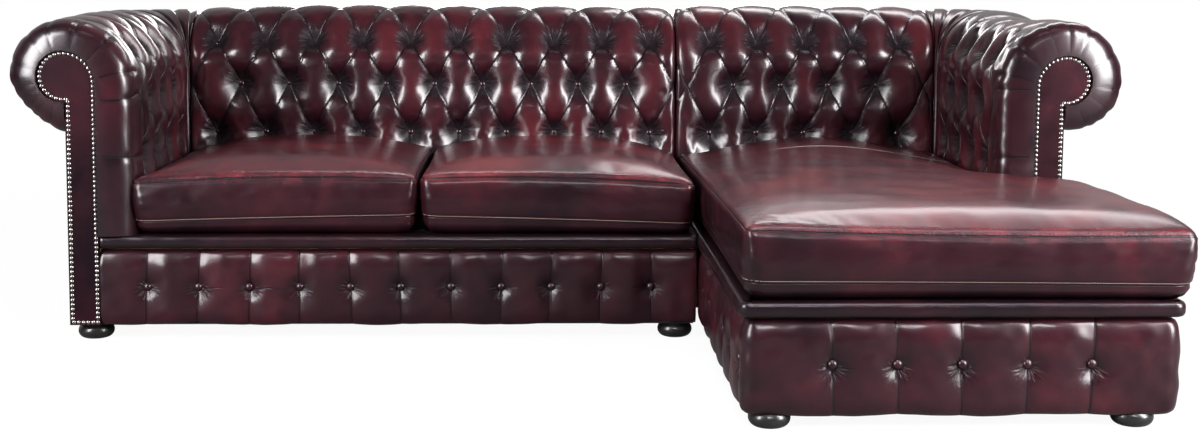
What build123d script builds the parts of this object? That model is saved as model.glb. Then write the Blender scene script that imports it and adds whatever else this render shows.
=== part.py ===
"""Chesterfield corner sofa: a two-seat module with the left arm, hooked to a chaise module with the right arm.

Frame: +X along the width, +Y to the back, +Z up, origin at the bottom centre of the whole, millimetres.
Arm and back share one profile, drawn in (p, z): p runs outward from the centre line of the padded roll.
"""
import math
import os

from build123d import *

# Overall sizes
overall_width = 2720.0
overall_depth = 1750.0
overall_height = 785.0
sofa_width = 1673.0           # outer side of the left roll to the seam between the modules
chaise_reach = 790.0          # chaise base front, ahead of the sofa front
module_gap = 4.0              # between the covers of the two modules

# Arm and back profile
roll_radius = 140.0
head_radius = 62.0            # timber head in the roll, and the scroll of the arm facing
panel_inset = 4.0             # outside cover, inward from the centre line of the roll
cover_depth = 26.0            # padded outside covers and base panels
frame_thickness = 47.0        # posts and rails of arm and back
pad_depth = 88.0              # tufted pad on the inside face

# Levels of the seat box
foot_height = 39.0
rail_height = 187.0
lip_height = 32.0
panel_gap = 4.0               # shadow line between base panel and lip
deck_depth = 25.0

# Tufting
tuft_pitch = 136.0            # between buttons of one row
row_pitch = 137.0             # between rows, along the skin
low_row_rise = 187.0          # lowest row of buttons, above the deck
tuft_margin = 60.0            # least distance of a button from the end of its pad
button_sink = 36.0
button_seat = 13.5            # half size of the flat under a button
button_radius = 10.0
button_height = 6.0
fold_sink = 9.0               # straight folds below and above the diamonds
border_width = 75.0           # plain front border of the arm pad
border_proud = 16.0           # arm pad ahead of the facing board
border_sinks = (52.0, 28.0, 10.0)   # rounding of the border, from its front edge backward

# Base panels
sofa_button_pitch = 123.0
chaise_button_pitch = 131.0
front_margin = 100.0
chaise_margin = 130.0
side_margin = 40.0
base_button_sink = 9.0

# Facing and nails
facing_thickness = 14.0
facing_proud = 2.0
nail_pitch = 11.5
nail_radius = 4.9
nail_height = 2.6
nail_inset = 6.5

# Timber, springs and hardware
rail_thickness = 50.0
clip_seat = 18.0              # inner strip of a rail that carries the spring clips
clip_height = 7.0
clip_width = 26.0
post_width = 60.0
tack_rail_rise = 30.0
tack_rail_height = 60.0
block_leg = 70.0
block_height = 110.0
wire_size = 3.6               # side of the flat-rolled spring wire
spring_width = 60.0
spring_pitch = 30.0
spring_spacing = 140.0
spring_lead = 34.0
clip_floor = 1.5
clip_clearance = 0.15
foot_radius = 43.0
foot_plate_radius = 33.0
foot_toe_radius = 30.0
foot_inset = 68.0             # chaise foot, inward from the side of the base
foot_set_back = 15.0          # front feet of the chaise, behind the back of its base panel
bolt_radius = 4.0
bolt_clearance = 0.1
bolt_length = 80.0
bolt_rise = 18.0              # lower end of the bolt above the floor
dust_thickness = 1.2
dust_hole_clearance = 3.0
hook_room = 5.0               # rail end back from the cover, room for the hooks
hook_plate = 3.0
hook_width = 60.0
hook_drop = 42.0
hook_tongue = 30.0
hook_engage = 25.0
hook_rise = 60.0              # step of the hooks above the bottom of the rail
screw_radius = 2.0
screw_length = 24.0
screw_head_radius = 4.0
screw_head_height = 0.5

# Cushions
cushion_gap = 2.0
seat_gap = 0.5
edge_height = 140.0           # cushion underside to its top seam
crown = 46.0
edge_rise = 6.0               # least crown, at the two ends of a cushion
side_bulge = 8.0
draw_in = 6.0                 # cushion sides, pulled in between the corners
corner_sink = 12.0
chaise_proud = 13.0           # chaise cushion, ahead of its base
ear_overhang = 28.0           # chaise cushion, past the right side of the base
case_wall = 3.0
core_clearance = 0.5
zip_length = 420.0
zip_height = 9.0

# Derived positions
p_cover = -panel_inset
p_frame_out = p_cover - cover_depth
p_frame_in = p_frame_out - frame_thickness
p_inside = p_frame_in - pad_depth
roll_z = overall_height - roll_radius
inside_radius = -p_inside
arc_z = overall_height - inside_radius
head_low = roll_z - math.sqrt(head_radius ** 2 - panel_inset ** 2)
head_top = roll_z + head_radius
head_in = head_top + p_frame_in

arm_axis = overall_width / 2 - roll_radius
back_axis = overall_depth / 2 - roll_radius
corner_x = arm_axis + p_inside
corner_y = back_axis + p_inside
frame_in_y = back_axis + p_frame_in
frame_out_y = back_axis + p_frame_out

chaise_front = -overall_depth / 2 + chaise_proud
sofa_front = chaise_front + chaise_reach
facing_back = sofa_front - facing_proud + facing_thickness
seam_x = -overall_width / 2 + sofa_width
sofa_end = seam_x - module_gap / 2
chaise_end = seam_x + module_gap / 2

base_z = foot_height
rail_top = base_z + rail_height
lip_top = rail_top + lip_height
deck_top = lip_top
deck_low = deck_top - deck_depth
rise = arc_z - deck_top
lip_depth = cover_depth + rail_thickness - clip_seat
panel_top = rail_top - panel_gap
rows = [low_row_rise + i * row_pitch for i in range(4)]


# Small builders
def closed_wire(path):
    """Closed wire of (corner, via) pairs: an arc through via leads to the next corner, or a line without one."""
    edges = []
    for (start, via), (end, _) in zip(path, path[1:] + path[:1]):
        if via is None:
            edges.append(Edge.make_line(start, end))
        else:
            edges.append(Edge.make_three_point_arc(start, via, end))
    return Wire(edges)


def block(x0, x1, y0, y1, z0, z1):
    x0, x1 = min(x0, x1), max(x0, x1)
    return Pos(x0, y0, z0) * Box(x1 - x0, y1 - y0, z1 - z0, align=(Align.MIN, Align.MIN, Align.MIN))


def arm_x(side, p):
    return side * (arm_axis + p)


def arm_block(side, p0, p1, y0, y1, z0, z1):
    return block(arm_x(side, p0), arm_x(side, p1), y0, y1, z0, z1)


def spread(start, end, pitch, margin):
    """Evenly pitched positions, centred between start and end."""
    count = int((end - start - 2 * margin) / pitch) + 1
    first = (start + end - (count - 1) * pitch) / 2
    return [first + i * pitch for i in range(count)]


def quarter_ring(side, inner, outer, z0, z1):
    """Quarter ring round the inside corner of arm and back."""
    def at(radius, angle):
        return (side * (corner_x + radius * math.cos(angle)), corner_y + radius * math.sin(angle), z0)
    half = math.pi / 4
    wire = closed_wire([
        (at(outer, 0), at(outer, half)), (at(outer, 2 * half), None),
        (at(inner, 2 * half), at(inner, half)), (at(inner, 0), None)])
    return extrude(Face(wire), z1 - z0, (0, 0, 1))


def save(name, shapes):
    shapes = list(shapes)
    solids = [solid for shape in shapes for solid in shape.solids()]
    part = solids[0] if len(solids) == 1 else Compound(children=solids)
    part.label = name
    export_step(part, "parts/" + name + ".step")


# Padded profile of arm and back
def skin(s, depth):
    """Point (p, z) of the skin at length s above the deck, sunk by depth."""
    if s < rise:
        return (p_inside + depth, deck_top + s)
    angle = (s - rise) / inside_radius
    if angle <= math.pi / 2:
        radius = inside_radius - depth
        return (-radius * math.cos(angle), arc_z + radius * math.sin(angle))
    angle = (angle - math.pi / 2) * inside_radius / roll_radius
    radius = roll_radius - depth
    return (radius * math.sin(angle), roll_z + radius * math.cos(angle))


s_top = rise + inside_radius * math.pi / 2
s_out = s_top + roll_radius * math.pi / 2


def pad_section(place, kind, sink=0.0):
    """Hook-shaped pad section: buttons on rows one and three (odd), two and four (even), or plain."""
    row3, row2, row1, row0 = rows
    seat, deep, fold = button_seat, button_sink, fold_sink
    roll_fold = 0.0
    foot = sink
    if kind == "odd":
        foot = fold / 2
        knots = [(row3 - seat, deep), (row3 + seat, deep), (row1 - seat, deep), (row1 + seat, deep)]
        vias = [(row3 / 2, fold), None, (row2, 0), None, ((row1 + s_top) / 2, fold)]
    elif kind == "even":
        roll_fold = fold
        knots = [(row3 - 0.6 * row_pitch, fold), (row2 - seat, deep), (row2 + seat, deep), (row0, 1.5 * fold)]
        vias = [None, (row3, 0), None, (row1, 0), None]
    else:
        knots = [(row3 / 2, sink), (row3, sink), (rise, sink), (rise + inside_radius * math.pi / 4, sink)]
        vias = [None, None, None, (rise + inside_radius * math.pi / 8, sink),
                (rise + inside_radius * math.pi * 3 / 8, sink)]
    depth = sink + roll_fold
    knots = [(0, foot)] + knots + [(s_top, depth), (s_out, depth / 2)]
    vias = vias + [(s_top + roll_radius * math.pi / 4, depth)]
    path = [(skin(*knot), via and skin(*via)) for knot, via in zip(knots[:-1], vias)]
    reach = roll_radius - sink
    under = roll_z - math.sqrt(reach ** 2 - panel_inset ** 2)
    half = math.sqrt(0.5)
    path += [
        (skin(s_out, depth / 2), (half * reach, roll_z - half * reach)),
        ((p_cover, under), None),
        ((p_cover, head_low), (half * head_radius, roll_z - half * head_radius)),
        ((head_radius, roll_z), (half * head_radius, roll_z + half * head_radius)),
        ((0, head_top), (half * p_frame_in, head_in - half * p_frame_in)),
        ((p_frame_in, head_in), None),
        ((p_frame_in, deck_top), None)]
    return closed_wire([(place(*corner), via and place(*via)) for corner, via in path])


def along(axis, side, station):
    """Places profile points (p, z) at a station along an arm or along the back."""
    if axis == "arm":
        return lambda p, z: (arm_x(side, p), station, z)
    return lambda p, z: (station, back_axis + p, z)


def tuft_stations(start, end):
    odd = spread(start, end, tuft_pitch, tuft_margin)
    even = [x + tuft_pitch / 2 for x in odd[:-1]]
    return odd, even


def tufted_pad(axis, side, lead, start, end, tail):
    """Lofted pad: plain (station, sink) pairs at both ends, buttoned sections between start and end."""
    odd, even = tuft_stations(start, end)
    middle = sorted([(x, "odd") for x in odd] + [(x, "even") for x in even])
    wires = [pad_section(along(axis, side, x), "plain", sink) for x, sink in lead]
    for x, kind in middle:
        wires.append(pad_section(along(axis, side, x - button_seat), kind))
        wires.append(pad_section(along(axis, side, x + button_seat), kind))
    wires += [pad_section(along(axis, side, x), "plain", sink) for x, sink in tail]
    return Solid.make_loft(wires, True)


def corner_pad(side):
    """Plain pad turned a quarter round the inside corner, with the corner itself drawn in."""
    half = math.sqrt(0.5)
    crease = p_inside + corner_sink
    lift = math.sqrt(inside_radius ** 2 - crease ** 2)
    mid = (math.pi / 2 + math.atan2(lift, -crease)) / 2
    path = [
        ((crease, deck_top), None),
        ((crease, arc_z + lift), (-inside_radius * math.cos(mid), arc_z + inside_radius * math.sin(mid))),
        ((0, overall_height), (half * roll_radius, roll_z + half * roll_radius)),
        ((roll_radius, roll_z), (half * roll_radius, roll_z - half * roll_radius)),
        ((p_cover, roll_z - math.sqrt(roll_radius ** 2 - panel_inset ** 2)), None),
        ((p_cover, head_low), (half * head_radius, roll_z - half * head_radius)),
        ((head_radius, roll_z), (half * head_radius, roll_z + half * head_radius)),
        ((0, head_top), (half * p_frame_in, head_in - half * p_frame_in)),
        ((p_frame_in, head_in), None),
        ((p_frame_in, deck_top), None)]
    place = along("arm", side, corner_y)
    face = Face(closed_wire([(place(*corner), via and place(*via)) for corner, via in path]))
    axis = Axis((side * corner_x, corner_y, 0), (0, 0, side))
    return revolve(face, axis, 90)


def rail_path():
    """Outline of the timber head inside the roll."""
    half = math.sqrt(0.5)
    return [
        ((p_cover, head_low), (half * head_radius, roll_z - half * head_radius)),
        ((head_radius, roll_z), (half * head_radius, roll_z + half * head_radius)),
        ((0, head_top), (half * p_frame_in, head_in - half * p_frame_in)),
        ((p_frame_in, head_in), None)]


def rail_face(place):
    path = rail_path() + [((p_frame_in, head_low), None)]
    return Face(closed_wire([(place(*corner), via and place(*via)) for corner, via in path]))


# Buttons
def dome(radius, height):
    """Round dome on the XY plane, rising along +Z."""
    ball = (radius ** 2 + height ** 2) / (2 * height)
    mid = math.atan2(radius, ball - height) / 2
    wire = closed_wire([
        ((0, 0, 0), None), ((radius, 0, 0), (ball * math.sin(mid), 0, height - ball + ball * math.cos(mid))),
        ((0, 0, height), None)])
    return revolve(Face(wire), Axis.Z, 360)


def pad_buttons(axis, side, start, end):
    odd, even = tuft_stations(start, end)
    shape = dome(button_radius, button_height)
    buttons = []
    for stations, row_list in ((odd, (rows[0], rows[2])), (even, (rows[1],))):
        for s in row_list:
            low, high = skin(s - button_seat, button_sink), skin(s + button_seat, button_sink)
            p, z = (low[0] + high[0]) / 2, (low[1] + high[1]) / 2
            length = math.hypot(high[0] - low[0], high[1] - low[1])
            out_p, out_z = -(high[1] - low[1]) / length, (high[0] - low[0]) / length
            for x in stations:
                if axis == "arm":
                    plane = Plane((arm_x(side, p), x, z), (0, 1, 0), (side * out_p, 0, out_z))
                else:
                    plane = Plane((x, back_axis + p, z), (1, 0, 0), (0, out_p, out_z))
                buttons.append(plane.location * shape)
    return buttons


# Base panels
def base_stations(start, end, pitch, margin):
    return spread(start, end, pitch, margin)


def base_panel(start, end, pitch, margin, place):
    """Padded panel with one row of sunk buttons; place maps (along, outward, z), outward 0 at the frame."""
    low, high, mid = base_z, panel_top, (base_z + panel_top) / 2

    def section(u, kind):
        full = cover_depth
        edge = full - base_button_sink
        seat = full - base_button_sink
        if kind == "seat":
            bulge = full - base_button_sink / 2
        elif kind == "end":
            edge, seat, bulge = full / 2, full / 2, full * 0.6
        else:
            seat = bulge = full
        lower, upper = mid - button_seat, mid + button_seat
        return closed_wire([
            (place(u, 0, low), None),
            (place(u, edge, low), place(u, bulge, (low + lower) / 2)),
            (place(u, seat, lower), None),
            (place(u, seat, upper), place(u, bulge, (upper + high) / 2)),
            (place(u, edge, high), None),
            (place(u, 0, high), None)])

    wires = [section(start, "end"), section(start + cover_depth / 2, "full")]
    stations = base_stations(start, end, pitch, margin)
    for i, u in enumerate(stations):
        wires += [section(u - button_seat, "seat"), section(u + button_seat, "seat")]
        if i + 1 < len(stations):
            wires.append(section(u + pitch / 2, "full"))
    wires += [section(end - cover_depth / 2, "full"), section(end, "end")]
    return Solid.make_loft(wires, True)


def base_buttons(start, end, pitch, margin, place, out):
    mid = (base_z + panel_top) / 2
    shape = dome(button_radius, button_height)
    return [Plane(place(u, cover_depth - base_button_sink, mid), (0, 0, 1), out).location * shape
            for u in base_stations(start, end, pitch, margin)]


# Arm facing and nails
def facing(side, low):
    path = rail_path() + [((p_frame_in, low), None), ((p_cover, low), None)]
    place = along("arm", side, sofa_front - facing_proud)
    face = Face(closed_wire([(place(*corner), via and place(*via)) for corner, via in path]))
    return extrude(face, facing_thickness, (0, 1, 0))


def facing_nails(side, low):
    half = math.sqrt(0.5)
    inner, outer = p_frame_in + nail_inset, p_cover - nail_inset
    reach = head_radius - nail_inset
    drop = math.sqrt(reach ** 2 - outer ** 2)
    place = along("arm", side, sofa_front - facing_proud)
    corners = [
        ((inner, low + nail_inset), None),
        ((inner, head_in), (half * inner, head_in - half * inner)),
        ((0, head_top - nail_inset), (half * reach, roll_z + half * reach)),
        ((reach, roll_z), (half * reach, roll_z - half * reach)),
        ((outer, roll_z - drop), None),
        ((outer, low + nail_inset), None)]
    wire = closed_wire([(place(*corner), via and place(*via)) for corner, via in corners])
    count = int(wire.length / nail_pitch)
    nail = Plane((0, 0, 0), (1, 0, 0), (0, -1, 0)).location * dome(nail_radius, nail_height)
    return [Pos(*(wire @ (i / count))) * nail for i in range(count)]


# Timber
def arm_frame(side):
    rear = corner_y - post_width
    pieces = [
        arm_block(side, p_frame_in, p_frame_out, facing_back, facing_back + post_width, rail_top, head_low),
        arm_block(side, p_frame_in, p_frame_out, rear, corner_y, rail_top, head_low),
        arm_block(side, p_frame_in, p_frame_out, facing_back + post_width, rear,
                  deck_top + tack_rail_rise, deck_top + tack_rail_rise + tack_rail_height),
        quarter_ring(side, p_frame_in - p_inside, p_frame_out - p_inside, base_z, head_low)]
    return pieces


def back_frame(start, end, posts):
    step = (end - start - post_width) / (posts - 1)
    lefts = [start + i * step for i in range(posts)]
    pieces = [block(x, x + post_width, frame_in_y, frame_out_y, rail_top, head_low) for x in lefts]
    low = deck_top + tack_rail_rise
    for x, after in zip(lefts, lefts[1:]):
        pieces.append(block(x + post_width, after, frame_in_y, frame_out_y, low, low + tack_rail_height))
    return pieces


def roll_rails(side, end):
    arm_face = rail_face(along("arm", side, facing_back))
    arm = extrude(arm_face, corner_y - facing_back, (0, 1, 0))
    bend = revolve(rail_face(along("arm", side, corner_y)), Axis((side * corner_x, corner_y, 0), (0, 0, side)), 90)
    back_face = rail_face(along("back", side, side * corner_x))
    back = extrude(back_face, abs(end - side * corner_x), (-side, 0, 0))
    return [arm, bend, back]


def glue_block(x, y, toward_x, toward_y):
    """Three-cornered block in a corner of the seat box."""
    low = base_z + (rail_height - block_height) / 2
    wire = closed_wire([((x, y, low), None), ((x + toward_x * block_leg, y, low), None),
                        ((x, y + toward_y * block_leg, low), None)])
    face = Face(wire)
    if face.normal_at().Z < 0:
        face = -face
    return extrude(face, block_height, (0, 0, 1))


# Springs
def zigzag(length):
    """Zig-zag spring wire along +X from the origin."""
    count = 2 * int((length - 2 * spring_lead) / spring_pitch / 2)
    pitch = (length - 2 * spring_lead) / count
    half = spring_width / 2
    points = [(0, 0), (spring_lead, 0)]
    level = half
    for i in range(count):
        x = spring_lead + i * pitch
        points += [(x, level), (x + pitch, level)]
        level = -level
    points += [(length - spring_lead, 0), (length, 0)]
    path = FilletPolyline(*points, radius=0.45 * pitch)
    return sweep(Plane((0, 0, 0), (0, 1, 0), (1, 0, 0)) * Rectangle(wire_size, wire_size), path)


def spring_clip():
    """Clip on a rail, along +X, with the wire through it."""
    body = Pos(clip_seat / 2, 0, 0) * Box(clip_seat, clip_width, clip_height,
                                          align=(Align.CENTER, Align.CENTER, Align.MIN))
    room = wire_size + 2 * clip_clearance
    hole = Pos(clip_seat / 2, 0, clip_floor + wire_size / 2) * Box(2 * clip_seat, room, room)
    return body - hole


def spring_set(origins, turn, span):
    """Springs and clips from each origin on a rail, over the span and both clip seats."""
    length = span + 2 * clip_seat
    wire = Pos(0, 0, clip_floor + wire_size / 2) * zigzag(length)
    clip = spring_clip()
    springs, clips = [], []
    for origin in origins:
        place = Pos(*origin) * Rot(0, 0, turn)
        springs.append(place * wire)
        clips += [place * clip, place * (Pos(length - clip_seat, 0, 0) * clip)]
    return springs, clips


# Feet
def foot_profile():
    plate = foot_plate_radius
    wire = closed_wire([
        ((0, 0, 0), None),
        ((foot_toe_radius, 0, 0), (foot_radius, 0, 0.45 * foot_height)),
        ((plate, 0, 0.86 * foot_height), None),
        ((plate, 0, foot_height), None),
        ((0, 0, foot_height), None)])
    return revolve(Face(wire), Axis.Z, 360)


def feet_and_bolts(places):
    foot = foot_profile()
    hole = Pos(0, 0, bolt_rise) * Cylinder(
        bolt_radius + bolt_clearance, foot_height, align=(Align.CENTER, Align.CENTER, Align.MIN))
    bolt = Pos(0, 0, bolt_rise) * Cylinder(
        bolt_radius, bolt_length, align=(Align.CENTER, Align.CENTER, Align.MIN))
    foot = foot - hole
    return [Pos(x, y, 0) * foot for x, y in places], [Pos(x, y, 0) * bolt for x, y in places]


def bolt_holes(places):
    depth = bolt_rise + bolt_length
    return [Pos(x, y, 0) * Cylinder(bolt_radius + bolt_clearance, depth,
                                    align=(Align.CENTER, Align.CENTER, Align.MIN)) for x, y in places]


def bored(shapes, tools):
    """Shapes with the tools that reach them cut away."""
    result = []
    for shape in shapes:
        box = shape.bounding_box()
        for tool in tools:
            centre = tool.center()
            if box.min.X < centre.X < box.max.X and box.min.Y < centre.Y < box.max.Y:
                shape = shape - tool
        result.append(shape)
    return result


def dust_cover(outline, places):
    sheet = extrude(Face(closed_wire(outline)), dust_thickness, (0, 0, -1))
    for x, y in places:
        sheet = sheet - Pos(x, y, base_z) * Cylinder(foot_plate_radius + dust_hole_clearance, 4 * dust_thickness)
    return sheet


# Hooks between the modules
def hook_set(sign, positions):
    """Z-shaped hooks on a rail end; sign 1 for the sofa (tongue up), -1 for the chaise (tongue down)."""
    stack = module_gap + 2 * hook_room
    room = (stack - 4 * hook_plate) / 3
    start = sofa_end - hook_room if sign > 0 else chaise_end + hook_room
    level = base_z + hook_rise if sign > 0 else base_z + hook_rise + 2 * hook_tongue - hook_engage
    tongue_in = 2 * hook_plate + 2 * room
    tongue_out = tongue_in + hook_plate
    outline = [(0, -hook_drop), (0, 0), (tongue_in, 0), (tongue_in, hook_tongue), (tongue_out, hook_tongue),
               (tongue_out, -hook_plate), (hook_plate, -hook_plate), (hook_plate, -hook_drop)]
    shapes, holes = [], []
    for y in positions:
        points = [(start + sign * x, y - hook_width / 2, level + sign * z) for x, z in outline]
        face = Face(closed_wire([(point, None) for point in points]))
        plate = extrude(face, hook_width, (0, 1, 0))
        for dy in (-hook_width / 4, hook_width / 4):
            z = level - sign * (hook_drop + hook_plate) / 2
            turn = Pos(start, y + dy, z) * Rot(0, sign * 90, 0)
            shank = turn * Pos(0, 0, -screw_length) * Cylinder(
                screw_radius, screw_length + hook_plate, align=(Align.CENTER, Align.CENTER, Align.MIN))
            head = turn * Pos(0, 0, hook_plate) * Cylinder(
                screw_head_radius, screw_head_height, align=(Align.CENTER, Align.CENTER, Align.MIN))
            plate = plate - shank
            shapes.append(shank + head)
            holes.append(shank)
        shapes.append(plate)
    return shapes, holes


# Cushions
def pillow_section(place, a0, a1, low, seam, top, flat_end):
    """Cushion section between a0 and a1: flat underside, bulged sides, crowned top."""
    mid = (low + seam) / 2
    far = 0.0 if flat_end else side_bulge
    return closed_wire([
        (place(a0 + side_bulge, low), None),
        (place(a1 - far, low), None if flat_end else place(a1, mid)),
        (place(a1 - far, seam), place((a0 + a1) / 2, top)),
        (place(a0 + side_bulge, seam), place(a0, mid))])


def swell(u):
    return 1 - abs(2 * u - 1) ** 2.6


seat_z = deck_top + seat_gap
stops = (0.0, 0.02, 0.1, 0.25, 0.5, 0.75, 0.9, 0.98, 1.0)


def box_cushion(x0, x1, y0, y1, t):
    """Sofa cushion, lofted along X, made smaller by t all round."""
    wires = []
    for u in stops:
        x = x0 + t + u * (x1 - x0 - 2 * t)
        full = swell(u)
        tuck = corner_sink if u in (0.0, 1.0) else 0.0
        front = y0 + t + draw_in * full + tuck
        low, seam = seat_z + t + tuck, seat_z + edge_height - t - tuck / 2
        top = seam + edge_rise + (crown - edge_rise) * full
        wires.append(pillow_section(lambda a, z, x=x: (x, a, z), front, y1 - t - tuck / 2, low, seam, top, True))
    return Solid.make_loft(wires, True)


def tee_cushion(x0, x1, ear, y0, y_ear, y1, t):
    """Chaise cushion, lofted along Y, with the ear in front of the arm; made smaller by t all round."""
    step = corner_sink + side_bulge
    front = y0 + t
    lows = [front, front + 0.02 * (y1 - y0), front + 0.12 * (y1 - y0), (front + y_ear) / 2,
            y_ear - 2 * step - t, y_ear - step - t, y_ear - t, (y_ear + y1) / 2, y1 - t - 0.12 * (y1 - y_ear), y1 - t]
    wires = []
    for i, y in enumerate(lows):
        u = (y - front) / (y1 - t - front)
        full = swell(u)
        wide = y < y_ear - step
        right = (ear if wide else x1) - t
        tuck = corner_sink if i == 0 else 0.0
        right -= tuck + (draw_in * swell((y - front) / (y_ear - front)) if wide else 0.0)
        if i == 5:
            right -= corner_sink
        low, seam = seat_z + t + tuck, seat_z + edge_height - t - tuck / 2
        top = seam + edge_rise + (crown - edge_rise) * full
        wires.append(pillow_section(lambda a, z, y=y: (a, y, z), x0 + t + tuck, right, low, seam, top, False))
    return Solid.make_loft(wires, True)


def cushion_parts(name, shape, middle, rear):
    """Case with a zip in its rear face, and the core inside it."""
    z = seat_z + edge_height / 2
    strip = block(middle - zip_length / 2, middle + zip_length / 2, rear - case_wall, rear,
                  z - zip_height / 2, z + zip_height / 2)
    slot = block(middle - zip_length / 2, middle + zip_length / 2, rear - 2 * case_wall, rear + case_wall,
                 z - zip_height / 2, z + zip_height / 2)
    case = shape(0.0) - shape(case_wall) - slot
    save(name + "_cover", [case])
    save(name + "_core", [shape(case_wall + core_clearance)])
    save(name + "_zip", [strip])


os.makedirs("parts", exist_ok=True)

# Shared positions of the seat boxes
rear_rail_in = frame_in_y - clip_seat
arm_rail_in = p_frame_in - clip_seat
sofa_rail_end = sofa_end - hook_room
chaise_rail_left = chaise_end + cover_depth
chaise_side_out = arm_x(1, p_cover)
arm_in_x = arm_axis + p_frame_in
hook_positions = [sofa_front + 0.3 * (frame_in_y - sofa_front), sofa_front + 0.75 * (frame_in_y - sofa_front)]

# Sofa module: seat box
front_in = sofa_front + cover_depth
front_rail_back = front_in + rail_thickness
foot_y = front_in + rail_thickness / 2
rear_foot_y = (rear_rail_in + frame_out_y) / 2
sofa_feet = [(-(arm_axis + (p_frame_in + p_frame_out) / 2), foot_y), (sofa_rail_end - foot_radius, foot_y),
             (-corner_x + foot_inset, rear_foot_y), (sofa_rail_end - foot_radius, rear_foot_y)]
hooks, hook_holes = hook_set(1, hook_positions)
rails = [
    block(-arm_in_x, sofa_rail_end, front_in, front_rail_back, base_z, rail_top),
    arm_block(-1, p_frame_in, p_frame_out, facing_back, corner_y, base_z, rail_top),
    block(-corner_x, sofa_rail_end, rear_rail_in, frame_out_y, base_z, rail_top),
    block(sofa_rail_end - rail_thickness, sofa_rail_end, front_rail_back, rear_rail_in, base_z, rail_top)]
for hole in hook_holes:
    rails[3] = rails[3] - hole
save("sofa_seat_rails", bored(rails, bolt_holes(sofa_feet)))
save("sofa_module_hooks", hooks)
save("sofa_glue_blocks", [
    glue_block(-arm_in_x, front_rail_back, 1, 1),
    glue_block(sofa_rail_end - rail_thickness, front_rail_back, -1, 1),
    glue_block(sofa_rail_end - rail_thickness, rear_rail_in, -1, -1)])
feet, bolts = feet_and_bolts(sofa_feet)
save("sofa_feet", feet)
save("sofa_foot_bolts", bolts)
ring = p_frame_out - p_inside
bend = math.sqrt(0.5) * ring
save("sofa_dust_cover", [dust_cover([
    ((-corner_x - ring, facing_back, base_z), None), ((sofa_rail_end, facing_back, base_z), None),
    ((sofa_rail_end, frame_out_y, base_z), None),
    ((-corner_x, frame_out_y, base_z), (-corner_x - bend, corner_y + bend, base_z)),
    ((-corner_x - ring, corner_y, base_z), None)], sofa_feet)])

# Sofa module: springs and deck
span = rear_rail_in - front_rail_back
xs = spread(-corner_x, sofa_rail_end, spring_spacing, spring_spacing / 2)
springs, clips = spring_set([(x, front_rail_back - clip_seat, rail_top) for x in xs], 90, span)
save("sofa_springs", springs)
save("sofa_spring_clips", clips)
deck_bend = math.sqrt(0.5) * pad_depth
deck_face = Face(closed_wire([
    ((-arm_in_x, sofa_front + lip_depth, deck_low), None), ((sofa_end, sofa_front + lip_depth, deck_low), None),
    ((sofa_end, frame_in_y, deck_low), None),
    ((-corner_x, frame_in_y, deck_low), (-corner_x - deck_bend, corner_y + deck_bend, deck_low)),
    ((-arm_in_x, corner_y, deck_low), None)]))
save("sofa_seat_deck", [extrude(deck_face, deck_depth, (0, 0, 1))])
save("sofa_front_lip", [block(-arm_in_x, sofa_end, sofa_front, sofa_front + lip_depth, rail_top, lip_top)])

# Sofa module: frame above the seat
save("sofa_arm_frame", arm_frame(-1))
save("sofa_back_frame", back_frame(-corner_x, sofa_rail_end, 4))
save("sofa_roll_rails", roll_rails(-1, sofa_rail_end))

# Sofa module: upholstery
lead = [(sofa_front - border_proud, border_sinks[0]), (sofa_front - 0.7 * border_proud, border_sinks[1]),
        (sofa_front + 0.4 * border_proud, border_sinks[2]), (sofa_front + 0.6 * border_width, 0.0)]
arm_start = sofa_front + border_width
save("sofa_inside_arm", [tufted_pad("arm", -1, lead, arm_start, corner_y, [(corner_y, 0.0)])])
save("sofa_corner_pad", [corner_pad(-1)])
save("sofa_inside_back", [tufted_pad("back", -1, [(-corner_x, 0.0)], -corner_x, sofa_end,
                                     [(sofa_end - 2 * corner_sink, 0.0), (sofa_end, corner_sink)])])
save("sofa_tuft_buttons", pad_buttons("arm", -1, arm_start, corner_y)
     + pad_buttons("back", -1, -corner_x, sofa_end))
save("sofa_outside_arm", [arm_block(-1, p_frame_out, p_cover, facing_back, corner_y, base_z, head_low)])
save("sofa_outside_back", [
    block(-corner_x, sofa_end, frame_out_y, back_axis + p_cover, base_z, head_low)
    + quarter_ring(-1, p_frame_out - p_inside, p_cover - p_inside, base_z, head_low)])
save("sofa_arm_facing", [facing(-1, base_z)])
save("sofa_facing_nails", facing_nails(-1, base_z))


def sofa_front_place(u, out, z):
    return (u, front_in - out, z)


save("sofa_base_panel", [base_panel(-arm_in_x, sofa_end, sofa_button_pitch, front_margin, sofa_front_place)])
save("sofa_base_buttons", base_buttons(
    -arm_in_x, sofa_end, sofa_button_pitch, front_margin, sofa_front_place, (0, -1, 0)))

# Chaise module: seat box
front_in_c = chaise_front + cover_depth
front_back_c = front_in_c + rail_thickness
left_in = chaise_rail_left + rail_thickness
right_in = arm_x(1, arm_rail_in)
foot_y_c = front_in_c + foot_set_back
chaise_feet = [(chaise_end + foot_inset, foot_y_c), (chaise_side_out - 1.35 * foot_inset, foot_y_c),
               (chaise_end + 1.5 * foot_inset, rear_foot_y), (corner_x - foot_inset, rear_foot_y)]
hooks, hook_holes = hook_set(-1, hook_positions)
rails = [
    block(chaise_rail_left, arm_x(1, p_frame_out), front_in_c, front_back_c, base_z, rail_top),
    block(chaise_rail_left, left_in, front_back_c, rear_rail_in, base_z, rail_top),
    arm_block(1, arm_rail_in, p_frame_out, front_back_c, corner_y, base_z, rail_top),
    block(chaise_rail_left, corner_x, rear_rail_in, frame_out_y, base_z, rail_top)]
packing = [block(chaise_end + hook_room, chaise_rail_left, y - hook_width / 2, y + hook_width / 2, base_z, rail_top)
           for y in hook_positions]
for hole in hook_holes:
    packing = [piece - hole for piece in packing]
    rails[1] = rails[1] - hole
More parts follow.
